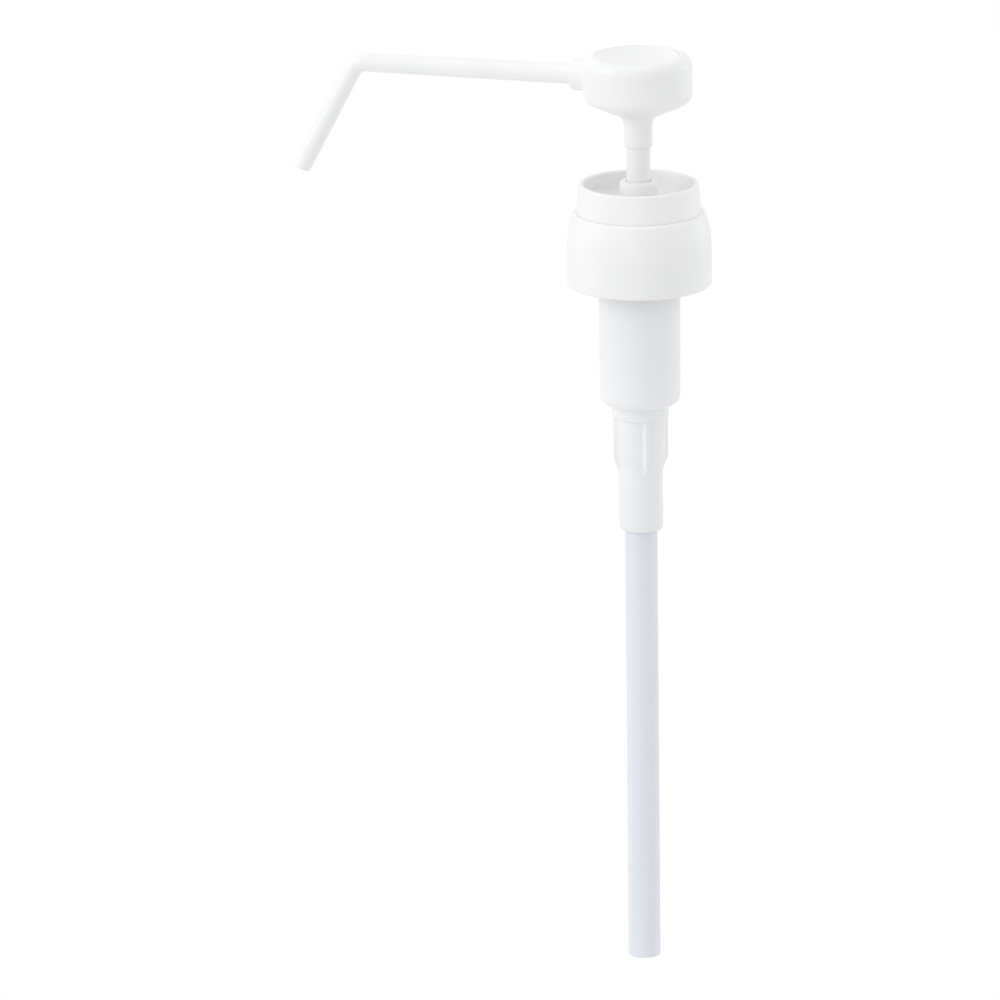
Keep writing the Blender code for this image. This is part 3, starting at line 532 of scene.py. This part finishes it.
def drawn_steel(name, base):
    """Stainless steel: fine draw marks along the surface and a slightly uneven polish."""
    material, tree, shader = new_material(name)
    marks = noise(tree, (1.0, 1.0, 6.0), 1400.0, 4.0)
    polish = noise(tree, (1.0, 1.0, 1.0), 180.0, 3.0)
    darker = tuple(0.88 * part for part in base)
    tint(tree, shader, polish, darker, base, 0.35, 0.65)
    dull(tree, shader, marks, 0.20, 0.34)
    roughen(tree, shader, marks, 0.15, 0.00002)
    shader.inputs["Metallic"].default_value = 1.0
    return material


surfaces = {}


def surface(name):
    """The pump's material of that name, made on first use from the finishes."""
    if name not in surfaces:
        look = bpy.context.scene.pump_finishes
        makers = {
            "white_plastic": (moulded_plastic, "White plastic", look.white, look.white_shade, look.white_gloss),
            "natural_plastic": (
                moulded_plastic, "Natural plastic", look.natural, look.natural_shade, look.natural_gloss
            ),
            "tube_plastic": (tube_plastic, "Tube plastic", look.tube, look.tube_shade, look.tube_gloss),
            "soft_seal": (soft_polymer, "Soft seal", look.seal),
            "steel": (drawn_steel, "Steel", look.steel),
        }
        make, *values = makers[name]
        surfaces[name] = make(*values)
    return surfaces[name]


class PUMP_OT_head(bpy.types.Operator):
    """Make the hollow thumb head with its stem boss and spout socket"""

    bl_idname = "pump.head"
    bl_label = "Thumb head"

    def corners(self, size):
        """Corners of the head's profile, from the ball stop down the stem's hole and up round the outside."""
        rim, top, boss = mm(size.radius), mm(size.top), mm(size.boss_bottom)
        bore, seat = mm(size.spout_height), mm(size.cover_radius) + 0.3
        stop, chamber, hole, post, step = 1.0, 3.6, 3.8, 4.4, 42.475
        stop_end, ceiling, roof = bore + 0.2, bore + 2.2, bore + 3.7
        hollow, ledge = seat - 0.8, top - 2.9
        corners = [(0, stop_end, 0), (stop, stop_end, 0.2), (stop, ceiling, 0.2), (chamber, ceiling, 0.3)]
        corners += [(chamber, step, 0.1), (hole, step, 0.1), (hole, boss, 0.2), (post, boss, 0.25)]
        corners += [(post, boss + 6.8, 6.0), (5.3, boss + 9.4, 1.6), (rim, boss + 14.7, 3.2)]
        corners += [(rim, top, mm(size.edge)), (seat, top, 0.15), (seat, ledge, 0.15), (hollow, ledge, 0.3)]
        corners += [(hollow, 42.08, 0.6), (5.6, 38.37, 0.6), (5.6, roof, 0.3), (0, roof, 0)]
        return corners

    def socket(self, size, profile):
        """The socket's boss: a tube along -X whose foot follows the head's wall, with a fillet between them.

        At each angle round X the foot is found on the head's outside, x = -sqrt(R(z)^2 - y^2). The fillet is
        the conic between the wall and the tube with their crossing as its middle control point.
        """
        sides, steps, fillet, weight, boss, root = 96, 8, 0.9, 0.707, 5.0, 13.6
        lip, edge, lowest = 0.5, 0.25, 0.0425
        angle = np.arange(sides) * TAU / sides
        outer = profile[(profile[:, 0] > size.cover_radius + 0.0008) & (profile[:, 1] > lowest)]
        outer = outer[np.argsort(outer[:, 1])]

        def circle(radius):
            return radius * np.sin(angle) * 0.001, size.spout_height + radius * np.cos(angle) * 0.001

        def on_wall(radius, sink):
            y, z = circle(radius)
            wall = np.interp(z, outer[:, 1], outer[:, 0]) - sink
            return np.stack([-np.sqrt(wall**2 - y**2), y, z], -1)

        def ring(radius, reach):
            return np.stack([np.full(sides, -reach * 0.001), *circle(radius)], -1)

        foot, crossing = on_wall(boss + fillet, 0.00002), on_wall(boss, 0.0)
        rise = crossing - np.array([fillet * 0.001, 0.0, 0.0])
        s = np.linspace(0.0, 1.0, steps + 1)[:, None, None]
        near, middle, far = (1 - s) ** 2, 2 * s * (1 - s) * weight, s**2
        blend = (near * foot + middle * crossing + far * rise) / (near + middle + far)
        turn = [(math.cos(t), math.sin(t)) for t in np.linspace(0.0, math.pi / 2, 6)]
        rows = [on_wall(boss + fillet, 0.0006), *blend]
        rows += [ring(boss - lip + lip * c, SOCKET_END - lip + lip * s) for c, s in turn]
        rows += [ring(SOCKET_BORE + edge - edge * s, SOCKET_END - edge + edge * c) for c, s in turn]
        points = np.stack(rows + [ring(SOCKET_BORE, root), ring(boss, root)])
        return points.reshape(-1, 3), ring_faces(points, np.zeros(len(points), bool))

    def execute(self, context):
        size = context.scene.pump_head_sizes
        profile = rounded(self.corners(size), 8)
        way, bore, outside, start = 1.9, 2.0, 3.7, 4.6
        tube = [(outside, start, 0), (outside, 14.0, 0), (SOCKET_BORE, 14.0, 0), (SOCKET_BORE, SOCKET_FLOOR, 0)]
        tube += [(bore, SOCKET_FLOOR, 0), (bore, start, 0)]
        inner_tube = carried(rounded(tube, 1), along_x(size.spout_height), 64)
        wide = drill(SOCKET_BORE, SOCKET_FLOOR, 25.0, size.spout_height, 64)
        narrow = drill(way, 2.4, 8.0, size.spout_height, 48)
        shell = cut_away(cut_away(turned(profile, 160), wide), narrow)
        whole = joined(shell, inner_tube, self.socket(size, profile))
        place("pump_head", whole, "head_body", "white_plastic")
        return {"FINISHED"}


class PUMP_OT_head_cover(bpy.types.Operator):
    """Make the dished thumb plate that closes the head"""

    bl_idname = "pump.head_cover"
    bl_label = "Head cover"

    def execute(self, context):
        """The dish is h = floor + depth (0.4 s^2 + 0.6 s^5), where s is the share of the dish's radius."""
        size = context.scene.pump_head_sizes
        rim, top = mm(size.cover_radius) + 0.27, mm(size.top) - 0.15
        floor, edge, brim = top - mm(size.dish_depth), top - 2.3, top - 0.02
        dish = (rim - 0.4) * 0.98
        corners = [(0.0, floor, 0.0), (dish, brim, 0.5), (rim, top, 0.12), (rim, edge, 0.15), (9.0, edge, 0.6)]
        corners += [(0.0, edge - 0.5, 0.0)]
        shape = split(rounded(corners, 8), 0.0006)
        radius, level = mm(shape).T
        s = np.clip(radius / dish, 0.0, 1.0)
        line = floor + (brim - floor) * s
        bowl = floor + (brim - floor) * (0.4 * s**2 + 0.6 * s**5)
        on_line = (radius < dish) & (np.abs(level - line) < 0.06)
        on_line &= (level < top - 0.01) & (level > floor - 0.001)
        shape[on_line, 1] = bowl[on_line] * 0.001
        place("head_cover", turned(shape, 160), "head_body", "white_plastic")
        return {"FINISHED"}


class PUMP_OT_spout(bpy.types.Operator):
    """Make the long bent spout and the ring in its socket"""

    bl_idname = "pump.spout"
    bl_label = "Spout"

    def execute(self, context):
        size = context.scene.pump_head_sizes
        route, end = spout_route(size)
        end, bore, corner = mm(end), mm(size.spout_bore), mm(size.spout_reach) - 3.2
        spigot, start, shoulder = 2.6, 8.5, SOCKET_END + 0.04
        corners = [(bore, start, 0.2), (spigot, start, 0.3), (spigot, shoulder, 0.1), (3.2, shoulder, 0.12)]
        corners += [(2.9, corner, 20.0), (2.9, end, 0.35), (bore, end, 0.35)]
        tube = carried(split(rounded(corners), 0.0007), route, 64)
        place("spout", tube, "head_body", "white_plastic")
        low, high = SOCKET_FLOOR + 0.3, start - 0.3
        ring = [(bore, low, 0.2), (spigot, low, 0.3), (spigot, high, 0.3), (bore, high, 0.2)]
        seal = carried(rounded(ring), along_x(size.spout_height), 64)
        place("spout_seal", seal, "head_body", "soft_seal")
        return {"FINISHED"}


class PUMP_OT_stem(bpy.types.Operator):
    """Make the hollow stem, the outlet seat on its top and the outlet ball"""

    bl_idname = "pump.stem"
    bl_label = "Stem and outlet valve"

    def execute(self, context):
        size = context.scene.pump_works_sizes
        rod, top, bottom = mm(size.stem_radius), mm(size.stem_top), mm(size.stem_bottom)
        spigot, shoulder, hole = 3.0, -3.0, 1.7
        corners = [(STEM_BORE, top, 0.2), (rod, top, 0.3), (rod, shoulder, 0.2), (spigot, shoulder, 0.2)]
        corners += [(spigot, bottom, 0.4), (STEM_BORE, bottom, 0.2)]
        place("stem", lathe(corners, 96), "head_body", "white_plastic")
        low, high = mm(foot_of("outlet_seat")), mm(top_of("outlet_seat"))
        corners = [(hole + 1.0, high, 0.1), (rod, high, 0.3), (rod, low, 0.3), (hole, low, 0.05)]
        corners += [(hole, high - 1.0, 0.05)]
        place("outlet_seat", lathe(corners, 96), "head_body", "soft_seal")
        place_ball("outlet_ball", "outlet_ball_body")
        return {"FINISHED"}


class PUMP_OT_collar(bpy.types.Operator):
    """Make the cup-shaped collar with the stem's guide and wiper"""

    bl_idname = "pump.collar"
    bl_label = "Collar"

    def execute(self, context):
        size = context.scene.pump_neck_sizes
        base, rim, top = mm(size.collar_radius), mm(size.collar_rim_radius), mm(size.collar_top)
        hub, hub_top, hole = 6.0, mm(size.hub_top), 3.85
        foot, floor, under = 5.93, top - 5.5, top - 7.3
        skirt, plug, skirt_end = 9.4, BARREL_BORE - 0.3, top - 16.0
        corners = [(base, foot, 0.05), (rim, top, 0.75), (rim - 1.5, top, 0.7), (rim - 1.6, floor, 0.9)]
        corners += [(hub, floor, 0.8), (hub, hub_top, 1.3), (hole, hub_top, 0.15), (hole, under, 0.2)]
        corners += [(skirt, under, 0.3), (skirt, skirt_end, 0.2), (plug, skirt_end, 0.3), (plug, 1.2, 0.2)]
        corners += [(plug + 0.5, 1.9, 0.3), (plug, 2.6, 0.2), (plug, under, 0.3)]
        corners += [(base - 1.6, under, 0.4), (base - 1.6, foot, 0.2)]
        place("collar", lathe(corners, 160), "barrel_body", "white_plastic")
        bush, pocket, step, head, high = 4.0, 6.0, 7.6, 9.1, 7.4
        corners = [(pocket, high, 0.2), (head, high, 0.3), (head, 5.4, 0.3), (step, 5.4, 0.4), (step, 3.3, 0.4)]
        corners += [(5.6, 3.3, 0.4), (5.6, -3.0, 0.3), (bush, -3.0, 0.2), (bush, 4.9, 0.1), (pocket, 4.9, 0.2)]
        place("stem_guide", lathe(corners, 96), "barrel_body", "natural_plastic")
        lip, waist, ring, low = 0.73, 4.57, 5.7, 5.2
        corners = [(bush, high, 0.15), (ring, high, 0.3), (ring, low, 0.3), (bush, low, 0.15)]
        corners += [(waist, low + lip, 0.3), (waist, high - lip, 0.3)]
        place("stem_wiper", lathe(corners, 96), "barrel_body", "soft_seal")
        return {"FINISHED"}


class PUMP_OT_cap(bpy.types.Operator):
    """Make the screw cap with its inner thread, and the neck gasket"""

    bl_idname = "pump.cap"
    bl_label = "Screw cap and gasket"

    def wall(self, size):
        """The cap's profile: a plain wall, a shoulder that swells along a large circle, and a flat roof."""
        wall, top_radius = mm(size.cap_radius), mm(size.cap_top_radius)
        top, bottom, bore = mm(size.cap_top), mm(size.cap_bottom), mm(size.cap_bore)
        rise, swell, edge, mouth, roof = 10.9, wall - top_radius, 1.0, 13.9, top - 2.0
        sweep = (rise * rise + swell * swell) / (2 * swell)
        lift = np.linspace(0.0, math.asin(rise / sweep), 15)
        foot = top - rise - edge
        shoulder = [(wall - sweep + sweep * math.cos(a), foot + sweep * math.sin(a), 0.0) for a in lift]
        crown = [(top_radius - 0.22, top, 1.5), (mouth, top, 0.2), (mouth, roof, 0.2)]
        inside = [(bore, roof, 0.8), (bore, bottom + 1.0, 0.5), (bore + 0.5, bottom, 0.15)]
        return [(wall, bottom, 0.8)] + shoulder + crown + inside

    def thread(self, size):
        """The cap's thread: a rounded ridge carried along a helix that sinks into the wall at both ends."""
        pitch, depth, bore = size.thread_pitch, size.thread_depth, size.cap_bore
        turns, start, rows, half_width, sunk = 1.6, size.cap_bottom + 0.0032, 240, 0.0010, 0.0011
        s = np.linspace(0.0, 1.0, rows)[:, None]
        angle, level = s * turns * TAU, start + s * turns * pitch
        fade = np.clip(np.minimum(s, 1.0 - s) * 14.0, 0.0, 1.0)
        crest = depth * fade * fade * (3.0 - 2.0 * fade)
        rise = np.array([[-0.3, -1.15], [0.0, -1.05], [0.55, -0.75], [0.92, -0.50], [1.0, -0.3]])
        tall, wide = np.concatenate([rise, rise[::-1] * (1.0, -1.0)]).T
        radius = bore - tall * np.where(tall > 0.0, crest, sunk)
        return capped_shell(about_z(radius, angle, level + wide * half_width))

    def execute(self, context):
        size = context.scene.pump_neck_sizes
        whole = joined(turned(rounded(self.wall(size), 6), 192), self.thread(size))
        place("closure_cap", whole, "cap_body", "white_plastic")
        ring, hole, thick = mm(size.gasket_radius), 13.1, 1.5
        corners = [(ring, thick, 0.2), (ring, 0.0, 0.2), (hole, 0.0, 0.2), (hole, thick, 0.2)]
        place("neck_gasket", lathe(corners, 128), "barrel_body", "soft_seal")
        return {"FINISHED"}


class PUMP_OT_barrel(bpy.types.Operator):
    """Make the stepped barrel with its ribs and vent, and the dip tube in its socket"""

    bl_idname = "pump.barrel"
    bl_label = "Barrel and dip tube"

    def levels(self, size):
        """Heights in millimetres: socket's top, cone's two ends, floor, the wall's foot and the ring's end."""
        socket_top = mm(size.tube_top) + 0.3
        cone_bottom = socket_top + 1.5
        cone_top = cone_bottom + 3.4
        floor = cone_top + 18.5
        foot = floor - 2.6
        return socket_top, cone_bottom, cone_top, floor, foot, foot - 3.9

    def corners(self, size):
        """Corners of the barrel's profile, down the outside and up the inside."""
        top, bottom, flange = mm(size.top), mm(size.bottom), mm(size.flange_radius)
        socket_top, cone_bottom, cone_top, floor, foot, ring_end = self.levels(size)
        neck, ring, valve, hole, inlet, seat = 13.5, 8.9, 7.65, 5.35, 2.6, 6.0
        corners = [(BARREL_BORE, top, 0.3), (neck, top, 0.4), (neck, 3.6, 0.5), (flange, 3.6, 0.3)]
        corners += [(flange, 1.8, 0.3), (12.8, 1.8, 0.4), (12.5, foot, 3.5), (ring, foot, 0.1)]
        corners += [(ring, ring_end, 0.35), (valve, ring_end, 0.4), (valve, cone_top, 0.5)]
        corners += [(TUBE_SOCKET, cone_top - 3.6, 0.5), (TUBE_SOCKET, bottom, 1.2), (hole, bottom, 0.2)]
        corners += [(hole, socket_top, 0.2), (inlet, socket_top, 0.2), (inlet, cone_bottom, 0.1)]
        corners += [(seat, cone_top, 0.3), (seat, floor, 0.2), (BARREL_BORE, floor, 0.4)]
        corners += [(BARREL_BORE, 0.9, 0.2), (BARREL_BORE + 0.5, 1.9, 0.2), (BARREL_BORE, 2.9, 0.2)]
        return corners

    def columns(self, size):
        """Angles of the barrel's columns, crowded where a rib's sides and edges are."""
        edge = math.asin(size.rib_thickness / 2 / size.rib_radius)
        steps = np.array([0.0, 0.2, 0.35, 0.5, 0.65, 0.8, 0.9, 1.0, 1.1, 1.25, 1.5, 2.0]) * edge
        span = TAU / size.rib_count
        between = np.linspace(2.0 * edge, span - 2.0 * edge, 34)[1:-1]
        one = np.concatenate([steps, between, span - steps[:0:-1]])
        turns = np.arange(size.rib_count) * span + size.rib_turn
        return (turns[:, None] + one[None, :]).ravel(), edge

    def shell(self, size):
        """The barrel: its profile turned about Z, with ribs where the outside is the larger of wall and rib.

        A rib's outline is straight down to a knee and then slopes in to the socket. Across a rib, its height
        falls from full to none between 0.1 and 1.2 of the half thickness along a smooth step.
        """
        profile = anticlockwise(split(rounded(self.corners(size), 8), 0.0011))
        angle, edge = self.columns(size)
        radius, level = profile.T
        half_span = math.pi / size.rib_count
        away = np.abs((angle - size.rib_turn + half_span) % (2 * half_span) - half_span)
        fall = np.clip((away / edge - 0.10) / 1.10, 0.0, 1.0)
        across = 1.0 - fall * fall * (3.0 - 2.0 * fall)
        plain, sloped = 0.0134, 0.0048
        ring_end = self.levels(size)[-1] * 0.001
        knee, tip = ring_end - plain, ring_end - plain - sloped
        outline = np.interp(level, [tip, knee], [TUBE_SOCKET * 0.001, size.rib_radius])
        outside = (radius > 0.0066) & (level < ring_end + 0.0020) & (level > tip - 0.0010)
        extra = np.where(outside, np.maximum(outline - radius, 0.0), 0.0)
        full = radius[:, None] + extra[:, None] * across[None, :]
        points = about_z(full, angle, level[:, None])
        return points.reshape(-1, 3), ring_faces(points, np.zeros(len(radius), bool))

    def execute(self, context):
        size = context.scene.pump_barrel_sizes
        vent, vent_height = 0.8, -0.0032
        vented = cut_away(self.shell(size), drill(vent, -15.0, -9.0, vent_height, 32))
        place("barrel", vented, "barrel_body", "natural_plastic")
        outer, inner = mm(size.tube_radius), mm(size.tube_radius - size.tube_wall)
        top, bottom = mm(size.tube_top), mm(size.tube_bottom)
        corners = [(outer, top, 0.2), (outer, bottom, 0.15), (inner, bottom, 0.15), (inner, top, 0.2)]
        tube = turned(split(rounded(corners), 0.004), 96)
        place("dip_tube", tube, "barrel_body", "tube_plastic")
        return {"FINISHED"}


class PUMP_OT_piston(bpy.types.Operator):
    """Make the piston's bobbin, its double-lipped seal and the foot that holds it"""

    bl_idname = "pump.piston"
    bl_label = "Piston"

    def execute(self, context):
        flange, waist, foot, plug = 9.0, 6.2, 8.0, 4.6
        corners = [(SPIGOT_HOLE, -3.3, 0.2), (flange, -3.3, 0.3), (flange, -4.7, 0.3), (waist, -4.7, 0.3)]
        corners += [(waist, -12.9, 0.3), (flange, -12.9, 0.3), (flange, -14.3, 0.3), (SPIGOT_HOLE, -14.3, 0.2)]
        place("piston", lathe(corners, 96), "piston_body", "natural_plastic")
        top, bottom, lip = -5.0, -12.6, BARREL_BORE - 0.3
        half = [(6.5, 0.0, 0.2), (7.8, 0.0, 0.2), (8.85, 2.4, 0.3), (9.9, 0.0, 0.15), (lip, 0.0, 0.15)]
        half += [(lip, 0.9, 0.4), (9.74, 2.4, 0.6)]
        corners = [(r, top - depth, edge) for r, depth, edge in half]
        corners += [(r, bottom + depth, edge) for r, depth, edge in reversed(half)]
        place("piston_seal", lathe(corners, 96), "piston_body", "soft_seal")
        corners = [(SPIGOT_HOLE, -14.6, 0.2), (foot, -14.6, 0.3), (foot, -16.4, 0.3), (plug, -16.4, 0.4)]
        corners += [(plug, -21.0, 0.5), (STEM_BORE, -21.0, 0.2), (STEM_BORE, -17.3, 0.1)]
        corners += [(SPIGOT_HOLE, -17.3, 0.2)]
        place("piston_foot", lathe(corners, 96), "piston_body", "natural_plastic")
        return {"FINISHED"}


class PUMP_OT_spring(bpy.types.Operator):
    """Make the return spring at a single length"""

    bl_idname = "pump.spring"
    bl_label = "Return spring"

    def execute(self, context):
        """A tube carried along a helix: close turns at both ends, an even pitch between, and round ends."""
        size = context.scene.pump_works_sizes
        low, high = foot_of("return_spring") + size.wire_radius, top_of("return_spring") - size.wire_radius
        turns, end_pitch, per_turn, sides = size.spring_turns, size.spring_end_pitch, 56, 14
        middle_pitch = (high - low - 2 * end_pitch) / (turns - 2)
        way = np.linspace(0.0, turns, turns * per_turn + 1)
        close = np.minimum(way, 1.0) + np.maximum(way - (turns - 1), 0.0)
        level = low + close * end_pitch + (way - close) * middle_pitch
        angle = way * TAU
        middle, outward = about_z(size.spring_radius, angle, level), about_z(1.0, angle, 0.0)
        along = np.gradient(middle, axis=0)
        along /= np.linalg.norm(along, axis=1)[:, None]
        cap = np.sin(np.linspace(0.0, math.pi / 2, 6)[1:])
        radius = np.full(len(way), size.wire_radius)
        radius[: len(cap)] *= cap
        radius[-len(cap) :] *= cap[::-1]
        points = rings(middle, outward, np.cross(along, outward), radius, sides)
        spring = place("return_spring", capped_shell(points), "barrel_body", "steel")
        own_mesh(spring)
        return {"FINISHED"}


class PUMP_OT_inlet_valve(bpy.types.Operator):
    """Make the inlet ball and finish the cage that keeps it in"""

    bl_idname = "pump.inlet_valve"
    bl_label = "Inlet valve"

    def execute(self, context):
        place_ball("inlet_ball", "inlet_ball_body")
        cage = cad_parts["valve_cage"].data
        cage.materials.clear()
        cage.materials.append(surface("natural_plastic"))
        return {"FINISHED"}


class PUMP_OT_stage(bpy.types.Operator):
    """Make the pale floor, the soft light and the camera"""

    bl_idname = "pump.stage"
    bl_label = "Stage"

    def white_to_camera(self, tree, lit):
        """A mix that shows white to the camera, mirrors and clear plastic, and what is lit to other rays."""
        path = tree.nodes.new("ShaderNodeLightPath")
        first, second = tree.nodes.new("ShaderNodeMath"), tree.nodes.new("ShaderNodeMath")
        first.operation = second.operation = "MAXIMUM"
        tree.links.new(path.outputs["Is Camera Ray"], first.inputs[0])
        tree.links.new(path.outputs["Is Glossy Ray"], first.inputs[1])
        tree.links.new(first.outputs[0], second.inputs[0])
        tree.links.new(path.outputs["Is Transmission Ray"], second.inputs[1])
        mix = tree.nodes.new("ShaderNodeMixShader")
        tree.links.new(second.outputs[0], mix.inputs["Fac"])
        tree.links.new(lit, mix.inputs[1])
        return mix

    def world(self, settings):
        """Even light from all round, plain white behind the object."""
        world = bpy.data.worlds.new("Studio")
        world.use_nodes = True
        tree = world.node_tree
        tree.nodes.clear()
        output = tree.nodes.new("ShaderNodeOutputWorld")
        even, white = tree.nodes.new("ShaderNodeBackground"), tree.nodes.new("ShaderNodeBackground")
        even.inputs["Strength"].default_value = settings.surround
        even.inputs["Color"].default_value = (0.985, 0.992, 1.0, 1.0)
        white.inputs["Color"].default_value = (1.0, 1.0, 1.0, 1.0)
        mix = self.white_to_camera(tree, even.outputs[0])
        tree.links.new(white.outputs[0], mix.inputs[2])
        tree.links.new(mix.outputs[0], output.inputs["Surface"])
        bpy.context.scene.world = world

    def floor(self, settings):
        """A wide round floor below the hanging pump: one disc at one height."""
        sides, radius = 64, 20.0
        angle = np.arange(sides) * TAU / sides
        mesh = as_mesh("floor", (about_z(radius, angle, settings.floor), [list(range(sides))]))
        floor = add_object("floor", mesh)
        material, tree, shader = new_material("Pale floor")
        shader.inputs["Base Color"].default_value = (0.93, 0.93, 0.93, 1.0)
        shader.inputs["Roughness"].default_value = 0.9
        white = tree.nodes.new("ShaderNodeEmission")
        mix = self.white_to_camera(tree, shader.outputs["BSDF"])
        tree.links.new(white.outputs[0], mix.inputs[2])
        output = next(node for node in tree.nodes if node.type == "OUTPUT_MATERIAL")
        tree.links.new(mix.outputs[0], output.inputs["Surface"])
        mesh.materials.append(material)

    def lamp(self, name, watts, spot, aim, size, hue=(1.0, 1.0, 1.0)):
        """A square soft lamp that faces a point."""
        light = bpy.data.lights.new(name, "AREA")
        light.color = hue
        light.energy = watts
        light.size = size
        lamp = add_object(name, light)
        lamp.location = spot
        lamp.rotation_mode = "QUATERNION"
        lamp.rotation_quaternion = (Vector(aim) - Vector(spot)).to_track_quat("-Z", "Y")

    def camera(self, settings):
        """A long lens at the photograph's angle, with the focal length set by the width in view."""
        turn, lift = settings.azimuth, settings.elevation
        back = Vector((math.sin(turn) * math.cos(lift), -math.cos(turn) * math.cos(lift), math.sin(lift)))
        right = Vector((math.cos(turn), math.sin(turn), 0.0))
        aim = Vector((0.0, 0.0, settings.aim_height)) - right * settings.aim_side
        view = bpy.data.cameras.new("Camera")
        view.sensor_width = 36.0
        view.lens = view.sensor_width * settings.distance / settings.width
        view.clip_start, view.clip_end = 0.05, 60.0
        camera = add_object("Camera", view)
        camera.rotation_mode = "QUATERNION"
        look = (-back).to_track_quat("-Z", "Y").to_matrix() @ Matrix.Rotation(settings.roll, 3, "Z")
        camera.rotation_quaternion = look.to_quaternion()
        camera.location = aim + back * settings.distance
        bpy.context.scene.camera = camera

    def execute(self, context):
        settings = context.scene.pump_stage
        context.scene.view_settings.view_transform = "Standard"
        self.world(settings)
        self.floor(settings)
        self.camera(settings)
        aim = (0.0, 0.0, -0.05)
        self.lamp("Key light", settings.key, (-1.30, -0.80, 0.55), aim, 1.0)
        self.lamp("Front light", settings.front, (-0.40, -1.40, 0.65), aim, 1.0)
        self.lamp("Rim light", settings.rim, (1.30, 1.20, 0.15), aim, 0.9, (0.86, 0.92, 1.0))
        self.lamp("Overhead light", settings.overhead, (0.00, -0.15, 1.75), aim, 1.2)
        return {"FINISHED"}


class PUMP_PT_panel(bpy.types.Panel):
    """Lists the pump's pieces in the order in which they are made"""

    bl_idname = "PUMP_PT_panel"
    bl_label = "Condiment pump"
    bl_space_type = "VIEW_3D"
    bl_region_type = "UI"
    bl_category = "Condiment pump"

    def draw(self, context):
        for maker in MAKERS:
            self.layout.operator(maker.bl_idname)


GROUPS = {
    "pump_head_sizes": HeadSizes,
    "pump_neck_sizes": NeckSizes,
    "pump_barrel_sizes": BarrelSizes,
    "pump_works_sizes": WorksSizes,
    "pump_finishes": Finishes,
    "pump_stage": StageSettings,
}
MAKERS = (
    PUMP_OT_stage,
    PUMP_OT_head,
    PUMP_OT_head_cover,
    PUMP_OT_spout,
    PUMP_OT_stem,
    PUMP_OT_collar,
    PUMP_OT_cap,
    PUMP_OT_barrel,
    PUMP_OT_piston,
    PUMP_OT_spring,
    PUMP_OT_inlet_valve,
)


def register():
    """Add the property groups, the operators and the panel."""
    for name, group in GROUPS.items():
        bpy.utils.register_class(group)
        setattr(bpy.types.Scene, name, PointerProperty(type=group))
    for maker in (*MAKERS, PUMP_PT_panel):
        bpy.utils.register_class(maker)


def unregister():
    """Take away what register adds."""
    for maker in reversed((*MAKERS, PUMP_PT_panel)):
        bpy.utils.unregister_class(maker)
    for name, group in reversed(list(GROUPS.items())):
        delattr(bpy.types.Scene, name)
        bpy.utils.unregister_class(group)


def main():
    """Register and make every piece in order."""
    register()
    bpy.ops.pump.stage()
    bpy.ops.pump.head()
    bpy.ops.pump.head_cover()
    bpy.ops.pump.spout()
    bpy.ops.pump.stem()
    bpy.ops.pump.collar()
    bpy.ops.pump.cap()
    bpy.ops.pump.barrel()
    bpy.ops.pump.piston()
    bpy.ops.pump.spring()
    bpy.ops.pump.inlet_valve()


if __name__ == "__main__":
    main()
